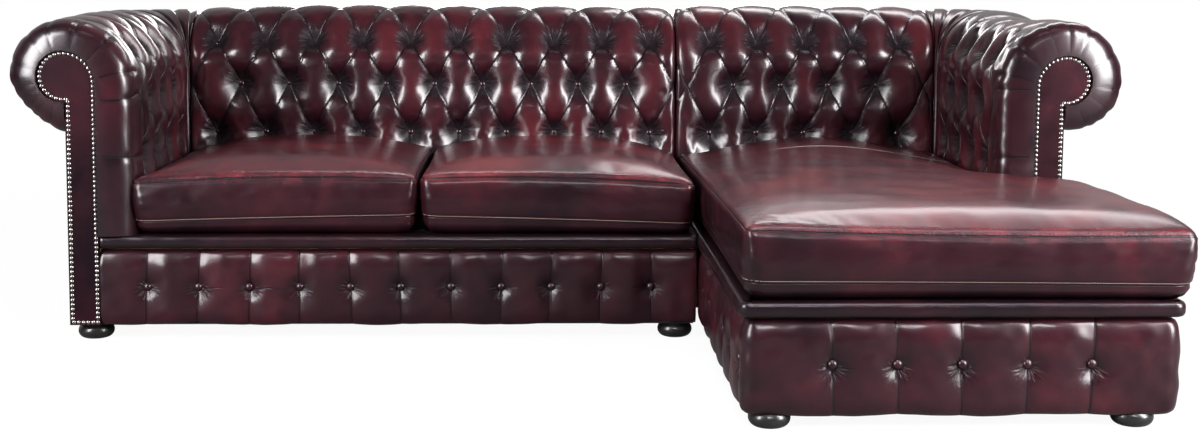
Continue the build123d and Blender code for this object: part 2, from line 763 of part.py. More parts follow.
save("chaise_seat_rails", bored(rails, bolt_holes(chaise_feet)))
save("chaise_module_hooks", hooks)
save("chaise_glue_blocks", packing + [
    glue_block(left_in, front_back_c, 1, 1), glue_block(right_in, front_back_c, -1, 1),
    glue_block(left_in, rear_rail_in, 1, -1)])
feet, bolts = feet_and_bolts(chaise_feet)
save("chaise_feet", feet)
save("chaise_foot_bolts", bolts)
save("chaise_dust_cover", [dust_cover([
    ((chaise_rail_left, front_in_c, base_z), None), ((corner_x + ring, front_in_c, base_z), None),
    ((corner_x + ring, corner_y, base_z), (corner_x + bend, corner_y + bend, base_z)),
    ((corner_x, frame_out_y, base_z), None), ((chaise_rail_left, frame_out_y, base_z), None)], chaise_feet)])

# Chaise module: springs and deck
ys = spread(front_back_c, rear_rail_in, spring_spacing, spring_spacing / 2)
springs, clips = spring_set([(left_in - clip_seat, y, rail_top) for y in ys], 0, right_in - left_in)
save("chaise_springs", springs)
save("chaise_spring_clips", clips)
deck_left = chaise_end + lip_depth
deck_face = Face(closed_wire([
    ((deck_left, chaise_front + lip_depth, deck_low), None), ((arm_in_x, chaise_front + lip_depth, deck_low), None),
    ((arm_in_x, corner_y, deck_low), (corner_x + deck_bend, corner_y + deck_bend, deck_low)),
    ((corner_x, frame_in_y, deck_low), None), ((deck_left, frame_in_y, deck_low), None)]))
save("chaise_seat_deck", [extrude(deck_face, deck_depth, (0, 0, 1))])
lip = (block(chaise_end, chaise_side_out, chaise_front, chaise_front + lip_depth, rail_top, lip_top)
       + block(chaise_end, deck_left, chaise_front + lip_depth, frame_in_y, rail_top, lip_top)
       + block(arm_in_x, chaise_side_out, chaise_front + lip_depth, sofa_front - facing_proud, rail_top, lip_top))
save("chaise_front_lip", [lip])

# Chaise module: frame above the seat
save("chaise_arm_frame", arm_frame(1))
save("chaise_back_frame", back_frame(chaise_end + hook_room, corner_x, 3))
save("chaise_roll_rails", roll_rails(1, chaise_end + hook_room))

# Chaise module: upholstery
save("chaise_inside_arm", [tufted_pad("arm", 1, lead, arm_start, corner_y, [(corner_y, 0.0)])])
save("chaise_corner_pad", [corner_pad(1)])
save("chaise_inside_back", [tufted_pad("back", 1, [(chaise_end, corner_sink), (chaise_end + 2 * corner_sink, 0.0)],
                                       chaise_end, corner_x, [(corner_x, 0.0)])])
save("chaise_tuft_buttons", pad_buttons("arm", 1, arm_start, corner_y)
     + pad_buttons("back", 1, chaise_end, corner_x))
save("chaise_outside_arm", [arm_block(1, p_frame_out, p_cover, facing_back, corner_y, base_z, head_low)])
save("chaise_outside_back", [
    block(chaise_end, corner_x, frame_out_y, back_axis + p_cover, base_z, head_low)
    + quarter_ring(1, p_frame_out - p_inside, p_cover - p_inside, base_z, head_low)])
save("chaise_arm_facing", [facing(1, lip_top)])
save("chaise_facing_nails", facing_nails(1, lip_top))


def chaise_front_place(u, out, z):
    return (u, front_in_c - out, z)


def chaise_left_place(u, out, z):
    return (chaise_rail_left - out, u, z)


def chaise_right_place(u, out, z):
    return (arm_x(1, p_frame_out) + out, u, z)


panels = [(chaise_end, chaise_side_out, chaise_margin, chaise_front_place, (0, -1, 0)),
          (front_in_c, sofa_front - module_gap, side_margin, chaise_left_place, (-1, 0, 0)),
          (front_in_c, facing_back, side_margin, chaise_right_place, (1, 0, 0))]
save("chaise_base_panels", [base_panel(a, b, chaise_button_pitch, margin, place)
                            for a, b, margin, place, _ in panels])
save("chaise_base_buttons", [button for a, b, margin, place, out in panels
                             for button in base_buttons(a, b, chaise_button_pitch, margin, place, out)])

# Cushions
cushion_front = sofa_front - draw_in
cushion_rear = corner_y - cushion_gap
split = (-corner_x + sofa_end) / 2
left_edge, right_edge = -corner_x + cushion_gap, sofa_end - cushion_gap / 2
cushion_parts("left_cushion", lambda t: box_cushion(
    left_edge, split - cushion_gap / 2, cushion_front, cushion_rear, t), (left_edge + split) / 2, cushion_rear)
cushion_parts("right_cushion", lambda t: box_cushion(
    split + cushion_gap / 2, right_edge, cushion_front, cushion_rear, t), (right_edge + split) / 2, cushion_rear)
tee_left, tee_right = chaise_end + 2 * cushion_gap, corner_x - cushion_gap
cushion_parts("chaise_cushion", lambda t: tee_cushion(
    tee_left, tee_right, chaise_side_out + ear_overhang, -overall_depth / 2,
    sofa_front - border_proud - cushion_gap, cushion_rear, t), (tee_left + tee_right) / 2, cushion_rear)
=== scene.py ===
# %% [markdown]
# # A deep-buttoned corner sofa
# Two upholstered modules stand side by side: a two-seat sofa with a scroll arm on the left, and a chaise
# with a scroll arm on the right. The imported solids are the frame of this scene. The hard pieces keep
# their solids and get better finishes. Everything padded is made again here as leather over foam, in the
# space of its solid.

# %% Load the frame
import math

import bpy
import numpy as np
from mathutils import Matrix, Vector


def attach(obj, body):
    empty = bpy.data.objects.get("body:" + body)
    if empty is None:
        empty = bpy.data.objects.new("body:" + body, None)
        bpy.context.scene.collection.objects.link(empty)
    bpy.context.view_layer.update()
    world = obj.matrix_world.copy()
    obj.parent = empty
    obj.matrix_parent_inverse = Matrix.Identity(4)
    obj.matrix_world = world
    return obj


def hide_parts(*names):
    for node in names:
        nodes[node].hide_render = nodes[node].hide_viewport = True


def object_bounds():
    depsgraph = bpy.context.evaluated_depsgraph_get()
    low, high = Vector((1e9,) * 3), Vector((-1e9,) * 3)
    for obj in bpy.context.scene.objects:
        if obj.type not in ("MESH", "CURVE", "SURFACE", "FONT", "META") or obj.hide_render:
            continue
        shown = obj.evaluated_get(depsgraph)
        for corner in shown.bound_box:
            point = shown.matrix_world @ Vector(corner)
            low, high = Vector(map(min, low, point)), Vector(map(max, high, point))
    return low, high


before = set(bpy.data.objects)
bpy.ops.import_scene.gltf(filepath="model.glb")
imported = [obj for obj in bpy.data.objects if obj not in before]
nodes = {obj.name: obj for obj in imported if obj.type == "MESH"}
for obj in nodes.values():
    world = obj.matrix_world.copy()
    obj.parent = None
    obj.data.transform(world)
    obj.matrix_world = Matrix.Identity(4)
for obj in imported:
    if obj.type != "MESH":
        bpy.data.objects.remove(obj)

cad_low, cad_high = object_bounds()
print("solids loaded:", len(nodes), "box", [round(v, 3) for v in cad_high - cad_low])

# %% [markdown]
# ## The camera
# The photograph was taken from a little left of the middle, at about the height of a seated eye, looking
# slightly down and a touch to the right. The lens is a normal one. The frame is shifted down, because the
# picture's horizon lies above its middle: a shift keeps the uprights upright, where a steeper tilt would
# make them lean.

# %% Camera
PICTURE_WIDTH, SENSOR_WIDTH = 1200, 36.0
FOCAL_PIXELS = 1606.3
EYE = Vector((-0.0985, -3.9658, 0.9143))
PITCH, YAW, ROLL = 0.0971, 0.0433, -0.0075
SHIFT = -0.08

ahead = Vector((math.sin(YAW) * math.cos(PITCH), math.cos(YAW) * math.cos(PITCH), -math.sin(PITCH)))
level = Vector((math.cos(YAW), -math.sin(YAW), 0))
over = level.cross(ahead)
right = level * math.cos(ROLL) - over * math.sin(ROLL)
up = level * math.sin(ROLL) + over * math.cos(ROLL)
bpy.ops.object.camera_add(location=EYE)
camera = bpy.context.object
camera.matrix_world = Matrix.Translation(EYE) @ Matrix((right, up, -ahead)).transposed().to_4x4()
camera.data.sensor_width = SENSOR_WIDTH
camera.data.lens = FOCAL_PIXELS / PICTURE_WIDTH * SENSOR_WIDTH
camera.data.shift_y = SHIFT
bpy.context.scene.camera = camera
print("camera lens", round(camera.data.lens, 2), "mm")

# %% [markdown]
# ## Sizes of the upholstery
# The arms and the back share one profile. It is drawn in p, the distance outward from the centre line of
# the roll, and z, the height. From the seat it goes straight up, turns over the top and curls under to
# the outside panel. A length s along that skin, and a length u along the arm or the back, are the two
# directions in which the leather is laid out. The outer sizes come from the box of the solids, so the
# leather follows the frame.

# %% Profile of arm and back
ROLL_R, SKIN_R, HEAD_R = 0.140, 0.165, 0.062
ROLL_Z, SEAT_TOP = 0.645, 0.258
FRAME_P, COVER_P = -0.077, -0.004
CHAISE_REACH, CUSHION_LEAD = 0.790, 0.013
SEAM_FROM_LEFT, SEAM_HALF = 1.673, 0.002
STEP = 0.0046

ARM_AXIS, BACK_AXIS = round(cad_high.x, 4) - ROLL_R, round(cad_high.y, 4) - ROLL_R
CORNER_X, CORNER_Y = ARM_AXIS - SKIN_R, BACK_AXIS - SKIN_R
CHAISE_FRONT = round(cad_low.y, 4) + CUSHION_LEAD
SOFA_FRONT = CHAISE_FRONT + CHAISE_REACH
SEAM_X = round(cad_low.x, 4) + SEAM_FROM_LEFT
SOFA_END, CHAISE_END = SEAM_X - SEAM_HALF, SEAM_X + SEAM_HALF
ARC_Z = ROLL_Z + ROLL_R - SKIN_R
RISE = ARC_Z - SEAT_TOP
S_TOP = RISE + SKIN_R * math.pi / 2
S_OUT = S_TOP + ROLL_R * math.pi / 2
S_END = S_TOP + ROLL_R * (math.pi + math.asin(-COVER_P / ROLL_R))


def spread(*stretches):
    """Places from zero along a line, given as stretches of (end, step)."""
    places, start = [0.0], 0.0
    for end, step in stretches:
        places.extend(np.linspace(start, end, max(1, round((end - start) / step)) + 1)[1:])
        start = end
    return np.array(places)


HIDDEN_END, SHOWN_END = 0.13, 0.70
# coarse behind the cushions, fine where the skin shows, coarser on the underside
S_LINE = spread((HIDDEN_END, 0.010), (SHOWN_END, 0.0043), (S_END, 0.0075))[None, :]


def skin_point(s, sink):
    """Profile point (p, z) at length s along the skin, sunk by sink."""
    turn = np.clip((s - RISE) / SKIN_R, 0, math.pi / 2)
    curl = np.clip((s - S_TOP) / ROLL_R, 0, 2 * math.pi)
    p = np.where(s < S_TOP, -(SKIN_R - sink) * np.cos(turn), (ROLL_R - sink) * np.sin(curl))
    inside_z = np.where(s < RISE, SEAT_TOP + s, ARC_Z + (SKIN_R - sink) * np.sin(turn))
    return p, np.where(s < S_TOP, inside_z, ROLL_Z + (ROLL_R - sink) * np.cos(curl))


def inner_outline():
    """The hidden side of the pad, round the timber head and down the frame to the seat."""
    points = [(COVER_P, ROLL_Z - math.sqrt(HEAD_R ** 2 - COVER_P ** 2))]
    for angle in np.radians(np.linspace(-86, 90, 17)[1:]):
        points.append((HEAD_R * math.cos(angle), ROLL_Z + HEAD_R * math.sin(angle)))
    centre = ROLL_Z + HEAD_R + FRAME_P
    for angle in np.radians(np.linspace(90, 180, 9)[1:]):
        points.append((-FRAME_P * math.cos(angle), centre - FRAME_P * math.sin(angle)))
    points.append((FRAME_P, SEAT_TOP))
    return np.array(points)


print("skin length", round(S_END, 3), "rows of points", S_LINE.shape[1])

# %% [markdown]
# ## Points of a mesh
# A padded form could be pushed about by hand in sculpt mode. Here its points are moved in code instead,
# because buttons and folds have to land on exact places of the solids below. These tools read and write
# all points of a mesh at once, and store extra numbers on them, which the leather reads later.

# %% Tools for points
def only(obj):
    """Make obj the one selected and active object."""
    bpy.ops.object.select_all(action="DESELECT")
    obj.select_set(True)
    bpy.context.view_layer.objects.active = obj


def smooth(a, b, x):
    """Soft step of x, from zero at a to one at b."""
    t = np.clip((x - a) / (b - a), 0, 1)
    return t * t * (3 - 2 * t)


def ripple(u, s, size, seed):
    """Soft uneven waves of about the given size, from about -1 to 1."""
    draw = np.random.default_rng(seed)
    waves = np.zeros(np.broadcast(u, s).shape)
    for _ in range(7):
        angle, phase = draw.uniform(0, 2 * math.pi, 2)
        k = 2 * math.pi / size * draw.uniform(0.6, 1.5)
        waves = waves + np.sin(k * (math.cos(angle) * u + math.sin(angle) * s) + phase)
    return waves / 4.0


def read(mesh, what="co"):
    values = np.empty(len(mesh.vertices) * 3)
    mesh.vertices.foreach_get(what, values)
    return values.reshape(-1, 3)


def put(obj, points):
    obj.data.vertices.foreach_set("co", np.ascontiguousarray(points, dtype=np.float32).ravel())
    obj.data.update()


def tell(obj, name, values):
    """Store one number or vector per point, for the leather to read."""
    kind, field = ("FLOAT", "value") if values.ndim == 1 else ("FLOAT_VECTOR", "vector")
    layer = obj.data.attributes.new(name, kind, "POINT")
    layer.data.foreach_set(field, np.ascontiguousarray(values, dtype=np.float32).ravel())


print("tools for points ready")

# %% [markdown]
# ## Sheets and closed tubes
# Most padded pieces are a sheet laid along a line. A grid is added and its points are moved on to the
# form. Its long edges are then welded, which makes it a tube, and its ends are filled. That gives a
# closed piece with even rows of points along the leather, where an extruded outline would have long thin
# faces.

# %% Tools for sheets and tubes
WELD, KEEP_SHARP = 1e-5, math.radians(60)


def grid_sheet(name, n_long, n_round):
    """A flat grid of n_long by n_round points, and the place of each point in it."""
    bpy.ops.object.select_all(action="DESELECT")
    bpy.ops.mesh.primitive_grid_add(x_subdivisions=n_long - 1, y_subdivisions=n_round - 1, size=2)
    obj = bpy.context.object
    obj.name = obj.data.name = name
    return obj, *grid_place(obj, n_long, n_round)


def grid_place(obj, n_long, n_round):
    co = read(obj.data)
    i = np.rint((co[:, 0] + 1) / 2 * (n_long - 1)).astype(int)
    j = np.rint((co[:, 1] + 1) / 2 * (n_round - 1)).astype(int)
    return i, j


def close_tube(obj):
    """Weld the long edges together, cap the ends and turn all faces outward."""
    only(obj)
    bpy.ops.object.mode_set(mode="EDIT")
    bpy.ops.mesh.select_all(action="SELECT")
    bpy.ops.mesh.remove_doubles(threshold=WELD)
    bpy.ops.mesh.fill_holes(sides=0)
    bpy.ops.mesh.select_all(action="SELECT")
    bpy.ops.mesh.normals_make_consistent(inside=False)
    bpy.ops.object.mode_set(mode="OBJECT")
    bpy.ops.object.shade_smooth_by_angle(angle=KEEP_SHARP)


def lay(base, normal, out, z):
    """Points at a distance out along each station's normal, at height z."""
    x = base[:, :1] + out * normal[:, :1]
    y = base[:, 1:] + out * normal[:, 1:]
    return np.stack([x, y, np.broadcast_to(z, x.shape)], axis=-1)


def tube_of(name, face, hidden, looks):
    """A closed tube of a shown face and hidden points[station, round], with what the leather reads."""
    n_long, n_face = face.shape[:2]
    whole = np.concatenate([face, hidden], axis=1)
    n_round = whole.shape[1]
    obj, i, j = grid_sheet(name, n_long, n_round + 1)
    j = j % n_round
    put(obj, whole[i, j])
    for key, values in looks.items():
        rest = np.zeros((n_long, n_round - n_face) + values.shape[2:])
        tell(obj, key, np.concatenate([values, rest], axis=1)[i, j])
    close_tube(obj)
    return obj


print("tools for tubes ready")

# %% [markdown]
# ## Leather that settles
# Real leather swells between the points that hold it. A cloth simulation with pressure from inside does
# the same. On all the points it would take minutes and wrinkle like satin, so every third row of a sheet
# settles, and its moves are capped and carried over to the rows between.

# %% Tools for cloth
SKIP = 3


def stretch(values, places, count):
    """Values at some rows, spread linearly over all rows."""
    at = np.arange(count)
    k = np.clip(np.searchsorted(places, at, side="right") - 1, 0, len(places) - 2)
    t = ((at - places[k]) / (places[k + 1] - places[k]))[:, None, None]
    return values[k] * (1 - t) + values[k + 1] * t


def cloth_on(obj, held, pressure, slack):
    """A leather-like cloth on obj, held at its points by weight, with the sheet larger by slack."""
    group = obj.vertex_groups.new(name="held")
    weights = np.round(held, 2)
    for weight in np.unique(weights):
        group.add(np.flatnonzero(weights == weight).tolist(), float(weight), "REPLACE")
    cloth = obj.modifiers.new("leather", "CLOTH")
    cloth.settings.vertex_group_mass = "held"
    cloth.settings.quality = 4
    cloth.settings.mass = 0.3
    cloth.settings.tension_stiffness = cloth.settings.compression_stiffness = 18
    cloth.settings.shear_stiffness = 6
    cloth.settings.bending_stiffness = 1.2
    cloth.settings.use_pressure = True
    cloth.settings.uniform_pressure_force = pressure
    cloth.settings.shrink_min = -slack
    cloth.settings.effector_weights.gravity = 0
    cloth.collision_settings.use_collision = False
    return cloth


def run_frames(count):
    for number in range(1, count + 1):
        bpy.context.scene.frame_set(number)


def capped(before, after, most):
    """Points moved from before towards after, by at most the given length."""
    move = after - before
    length = np.linalg.norm(move, axis=-1, keepdims=True)
    return before + move * np.minimum(1, most / np.maximum(length, 1e-9))


def settle(points, held, pressure=2.0, slack=0.005, frames=10, most=0.004):
    """Let every third row of a sheet settle as cloth, and carry the moves over to all its points."""
    n_long, n_round = points.shape[:2]
    rows = np.unique(np.append(np.arange(0, n_long, SKIP), n_long - 1))
    cols = np.unique(np.append(np.arange(0, n_round, SKIP), n_round - 1))
    some = points[np.ix_(rows, cols)]
    obj, i, j = grid_sheet("settling", len(rows), len(cols))
    put(obj, some[i, j])
    only(obj)
    cloth_on(obj, held[np.ix_(rows, cols)][i, j], pressure, slack)
    run_frames(frames)
    got = obj.evaluated_get(bpy.context.evaluated_depsgraph_get()).data
    after = np.empty_like(some)
    after[i, j] = read(got)
    bpy.data.objects.remove(obj)
    bpy.context.scene.frame_set(1)
    move = stretch(capped(some, after, most) - some, rows, n_long)
    return points + stretch(move.transpose(1, 0, 2), cols, n_round).transpose(1, 0, 2)


print("cloth settles every", SKIP, "rows")

# %% [markdown]
# ## Building materials from nodes
# A material is a graph of nodes. Adding them by hand in the shader editor takes many clicks, so this
# small class wraps a node tree and gives short names to the sums, noises and ramps that the finishes
# below are built from.

# %% Node tools
class Nodes:
    """A node tree with short ways to add nodes. A value may be a number or a socket."""

    def __init__(self, tree):
        self.tree = tree

    def link(self, source, socket):
        self.tree.links.new(source, socket)

    def feed(self, socket, value):
        if isinstance(value, (int, float, tuple)):
            socket.default_value = value
        else:
            self.link(value, socket)

    def add(self, kind, **values):
        made = self.tree.nodes.new("ShaderNode" + kind)
        for key, value in values.items():
            if key in made.inputs:
                made.inputs[key].default_value = value
            else:
                setattr(made, key, value)
        return made

    def math(self, operation, a, b=0.0, clamp=False):
        made = self.add("Math", operation=operation, use_clamp=clamp)
        self.feed(made.inputs[0], a)
        self.feed(made.inputs[1], b)
        return made.outputs[0]

    def times(self, *factors):
        result = factors[0]
        for factor in factors[1:]:
            result = self.math("MULTIPLY", result, factor)
        return result

    def plus(self, *terms):
        result = terms[0]
        for term in terms[1:]:
            result = self.math("ADD", result, term)
        return result

    def minus(self, a, b):
        return self.math("SUBTRACT", a, b)

    def larger(self, a, b):
        return self.math("MAXIMUM", a, b)

    def size(self, a):
        return self.math("ABSOLUTE", a)

    def above(self, a, limit):
        return self.math("GREATER_THAN", a, limit)

    def centred(self, value, amount):
        return self.times(self.minus(value, 0.5), amount)

    def vector(self, operation, a, b=None):
        made = self.add("VectorMath", operation=operation)
        self.feed(made.inputs[0], a)
        if b is not None:
            self.feed(made.inputs[1], b)
        return made.outputs["Value" if operation == "LENGTH" else "Vector"]

    def join(self, x, y, z=0.0):
        made = self.add("CombineXYZ")
        for socket, value in zip(made.inputs, (x, y, z)):
            self.feed(socket, value)
        return made.outputs[0]

    def split(self, value):
        made = self.add("SeparateXYZ")
        self.link(value, made.inputs[0])
        return made.outputs

    def step(self, value, low, high, to_low=0.0, to_high=1.0):
        """Smooth step of value from low to high."""
        made = self.add("MapRange", interpolation_type="SMOOTHSTEP")
        for socket, number in zip(made.inputs, (value, low, high, to_low, to_high)):
            self.feed(socket, number)
        return made.outputs[0]

    def ramp(self, fac, stops):
        made = self.add("ValToRGB")
        elements = made.color_ramp.elements
        while len(elements) < len(stops):
            elements.new(0.5)
        for element, (place, colour) in zip(elements, stops):
            element.position, element.color = place, (*colour, 1)
        self.link(fac, made.inputs[0])
        return made.outputs[0]

    def noise(self, where, scale, detail, roughness=0.5, distortion=0.0):
        made = self.add("TexNoise", Scale=scale, Detail=detail, Roughness=roughness, Distortion=distortion)
        self.link(where, made.inputs["Vector"])
        return made.outputs["Fac"]


def new_group(name, inputs, outputs):
    """A shader node group with named sockets."""
    tree = bpy.data.node_groups.new(name, "ShaderNodeTree")
    for title, kind in inputs:
        tree.interface.new_socket(title, in_out="INPUT", socket_type="NodeSocket" + kind)
    for title, kind in outputs:
        tree.interface.new_socket(title, in_out="OUTPUT", socket_type="NodeSocket" + kind)
    return Nodes(tree), tree.nodes.new("NodeGroupInput").outputs, tree.nodes.new("NodeGroupOutput").inputs


def new_material(name):
    """A material, its nodes, its shader and a socket with the place on the object."""
    material = bpy.data.materials.new(name)
    material.use_nodes = True
    tree = Nodes(material.node_tree)
    return material, tree, tree.tree.nodes["Principled BSDF"], tree.add("TexCoord").outputs["Object"]


def bump(tree, shader, height, distance):
    made = tree.add("Bump", Strength=1.0, Distance=distance)
    tree.link(height, made.inputs["Height"])
    tree.link(made.outputs[0], shader.inputs["Normal"])


print("node tools ready")

# %% [markdown]
# ## Antique leather
# This leather is dyed red first and then rubbed with near-black. The colour follows a puff value stored on
# each point: it is dark in folds and round the buttons, partly as dye left there and partly as painted
# shade of those hollows, and lighter where the skin stands proud and the dark wears off. An image of leather
# would repeat and stretch, so noises make the large soft patches, the fine mottling and the grain. All the
# leathers of the sofa share one node group.

# %% Hide: patches and grain
hide, given, result = new_group(
    "antique_leather",
    [("Vector", "Vector"), ("Puff", "Float"), ("Rub", "Float"), ("Fold", "Vector"), ("Star", "Vector"),
     ("Sewn", "Vector")],
    [("Color", "Color"), ("Roughness", "Float"), ("Gloss", "Float"), ("Height", "Float")])
where = given["Vector"]
patch = hide.noise(where, scale=3.4, detail=2.0, distortion=0.5)
mottle = hide.noise(where, scale=16.0, detail=4.0, roughness=0.55, distortion=0.6)
fine = hide.noise(where, scale=210.0, detail=2.0)
crease = hide.noise(where, scale=46.0, detail=3.0, roughness=0.55, distortion=1.6)
crumple = hide.noise(where, scale=150.0, detail=2.0, roughness=0.55)
grain = hide.add("TexVoronoi", Scale=700.0, feature="F1")
hide.link(where, grain.inputs["Vector"])
print("noises in the hide: 5, and a grain of cells")

# %% [markdown]
# ## Pleats and puckers in the hide
# A pleat is a line sharper than the mesh, so the shader draws it: each point stores two counts, and a
# fold lies where a count is a whole number. Round each button the leather puckers. There a point stores
# its offset from the button, and a noise that turns with the direction of that offset gives streaks like
# the rays of a star. The third number tells one button from the next, and is below zero on the base
# panels, whose buttons are shallow.

# %% Hide: pleats and puckers
FOLD_HALF = 0.024


def whole_number_line(value):
    """One on whole numbers, falling to zero beside them."""
    off = hide.size(hide.minus(hide.math("FRACT", hide.plus(value, 0.5)), 0.5))
    return hide.step(off, 0.0, FOLD_HALF, 1.0, 0.0)


first, second, firm = hide.split(given["Fold"])
# a fold is a groove in the relief, and its dark line in the colour is partly dye and partly painted shade
fold = hide.times(hide.larger(whole_number_line(first), whole_number_line(second)), firm)

star_u, star_s, star_turn = hide.split(given["Star"])
star = hide.join(star_u, star_s)
far = hide.vector("LENGTH", star)
spin = hide.join(star_turn, 0.0, hide.times(far, 9.0))
around = hide.vector("ADD", hide.vector("NORMALIZE", star), spin)
streak = hide.step(hide.noise(around, scale=3.3, detail=2.0), 0.36, 0.64)
reach = hide.times(hide.step(far, 0.006, 0.016), hide.step(far, 0.018, 0.056, 1.0, 0.0))
tufted = hide.above(star_turn, -1.0)
# the puckers' streaks also lighten and darken the colour, partly as painted light and shade
pucker = hide.times(hide.minus(streak, 0.5), reach, hide.plus(hide.times(tufted, 0.15), 0.85))
# deep marks the dimple round a button: it dulls the leather and darkens its colour as painted shade
deep = hide.times(hide.step(far, 0.018, 0.046, 1.0, 0.0), hide.above(far, 0.0001), tufted)
print("pleats and puckers drawn within", FOLD_HALF, "of a count")

# %% [markdown]
# ## Seams and stitches in the hide
# A cushion's panels are sewn together, with a row of pale stitches beside the lower seam. Modelled
# threads would be thousands of tiny pieces. Instead each point stores how far it lies from the two seams,
# and a count of stitches along them, and the shader draws the groove and the dashes. Above the top seam
# the leather is crumpled and lighter, partly from wear and partly as a painted sheen.

# %% Hide: seams
STITCH_AT, STITCH_HALF, STITCH_SHARE = 0.0045, 0.0009, 0.70

along, from_high, from_low = hide.split(given["Sewn"])
sewn_here = hide.above(hide.size(along), 0.0)
beside_high = hide.size(from_high)
seam = hide.larger(hide.step(beside_high, 0.0006, 0.0028, 1.0, 0.0),
                   hide.step(hide.size(from_low), 0.0006, 0.0024, 1.0, 0.0))
seam = hide.times(seam, sewn_here)
dash = hide.math("LESS_THAN", hide.math("FRACT", along), STITCH_SHARE)
from_thread = hide.size(hide.minus(from_low, STITCH_AT))
beside = hide.step(from_thread, STITCH_HALF * 0.5, STITCH_HALF * 1.5, 1.0, 0.0)
stitch = hide.times(dash, beside, sewn_here)
near_seam = hide.times(hide.step(beside_high, 0.004, 0.026, 1.0, 0.0), sewn_here)
upper_side = hide.step(from_high, -0.004, 0.001, 0.3, 1.0)
crackle = hide.times(hide.minus(crumple, 0.5), near_seam, upper_side)
# a lighter band above the top seam: partly wear, partly painted sheen
worn_and_sheen = hide.times(near_seam, hide.step(mottle, 0.42, 0.62))
print("stitch row at", STITCH_AT)

# %% [markdown]
# ## Colour, sheen and relief of the hide
# All the masks meet here. They add up to one tone, from near-black to red, which a colour ramp turns into
# dye; part of that tone is painted light and shade. Deep round the buttons the leather is dull, because the
# polishing cloth never reached it, and darker, as painted shade of the dimple. The relief is one height
# that a Bump node reads, with every part of it in metres.

# %% Hide: outputs
DYE = [(0.0, (0.0060, 0.0021, 0.0038)), (0.35, (0.022, 0.0047, 0.0080)), (0.65, (0.064, 0.0093, 0.0135)),
       (1.0, (0.150, 0.0190, 0.0205))]
THREAD = (0.50, 0.32, 0.28, 1)


def weighted(*pairs):
    return hide.plus(*(hide.times(value, weight) for value, weight in pairs))


# the tone: puff, folds, dimples, puckers and the seam band carry both rubbed dye and painted light and
# shade; seams are dark joints
rubbed_and_painted_shade = weighted((given["Puff"], 0.40), (fold, -0.45), (seam, -0.7), (worn_and_sheen, 0.22), (pucker, 0.25),
                  (deep, -0.30))
clouded = hide.plus(hide.centred(patch, 1.0), hide.centred(mottle, 0.45), hide.centred(fine, 0.12))
tone = hide.plus(rubbed_and_painted_shade, clouded, given["Rub"])
thread = hide.add("Mix", data_type="RGBA")
hide.link(stitch, thread.inputs["Factor"])
hide.link(hide.ramp(hide.math("ADD", tone, 0.0, clamp=True), DYE), thread.inputs[6])
thread.inputs[7].default_value = THREAD
hide.link(thread.outputs[2], result["Color"])
hide.link(hide.plus(weighted((mottle, 0.12), (fine, 0.06), (deep, 0.34)), 0.22), result["Roughness"])
hide.link(hide.minus(1.0, hide.times(deep, 0.9)), result["Gloss"])
hide.link(weighted((grain.outputs["Distance"], 0.00010), (crease, 0.00013), (fine, 0.00008), (fold, -0.0020),
                   (pucker, 0.0024), (seam, -0.0016), (stitch, 0.0006), (crackle, 0.0026)), result["Height"])
print("antique leather:", len(hide.tree.nodes), "nodes")

# %% [markdown]
# ## The leathers of this sofa
# The same hide is darker on the panels below the seat, partly rubbed so and partly as painted shade, and
# lighter on the seats, partly worn so and partly as painted light. It is polished most on the buttoning.
# Each leather places the group with its own values. Most of the shine is a clear coat, as on the real
# lacquered hide, so that it can be masked in the dimples. The last tool here dresses a padded piece.

# %% Leathers
def leather(name, rub_and_painted_light, coat, sheen=0.20):
    material, tree, shader, place = new_material(name)
    finish = tree.add("Group", node_tree=hide.tree)
    tree.link(place, finish.inputs["Vector"])
    for title, field in (("Puff", "Fac"), ("Fold", "Vector"), ("Star", "Vector"), ("Sewn", "Vector")):
        stored = tree.add("Attribute", attribute_name=title.lower())
        tree.link(stored.outputs[field], finish.inputs[title])
    finish.inputs["Rub"].default_value = rub_and_painted_light
    tree.link(finish.outputs["Color"], shader.inputs["Base Color"])
    tree.link(finish.outputs["Roughness"], shader.inputs["Roughness"])
    shader.inputs["Specular IOR Level"].default_value = sheen
    shader.inputs["Specular Tint"].default_value = (1.0, 0.90, 0.97, 1)
    tree.link(tree.times(finish.outputs["Gloss"], coat), shader.inputs["Coat Weight"])
    shader.inputs["Coat Tint"].default_value = (1.0, 0.95, 0.98, 1)
    shader.inputs["Coat Roughness"].default_value = 0.22
    bump(tree, shader, finish.outputs["Height"], 1.0)
    return material


# the rub value shifts each leather's tone; on panels and cushions it is partly painted shade and painted
# light
tufted_leather = leather("tufted_leather", rub_and_painted_light=0.06, coat=0.80)
cushion_leather = leather("cushion_leather", rub_and_painted_light=0.24, coat=0.36)
panel_leather = leather("panel_leather", rub_and_painted_light=-0.07, coat=0.46)
facing_leather = leather("facing_leather", rub_and_painted_light=0.22, coat=0.05, sheen=0.1)
button_leather = leather("button_leather", rub_and_painted_light=0.22, coat=0.60)
print("leathers made: 5")


def dress(obj, body, replaced, material):
    """Give a padded piece its leather and its body, and hide the solids it stands for."""
    obj.data.materials.clear()
    obj.data.materials.append(material)
    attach(obj, body)
    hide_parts(*replaced)
    print(obj.name, "points", len(obj.data.vertices))


# %% [markdown]
# ## Deep buttoning
# Deep buttoning folds a hide over foam in diamonds. Buttons pull it down at the corners of each diamond,
# and the spare leather is tucked into straight pleats between them. In lattice numbers a and b, which
# count pleats along the two slants, a diamond is one unit square, so a pillow that is zero on whole
# numbers and full between them gives every puff and every pleat at once. Below the lowest row and over
# the roll the pleats run straight.

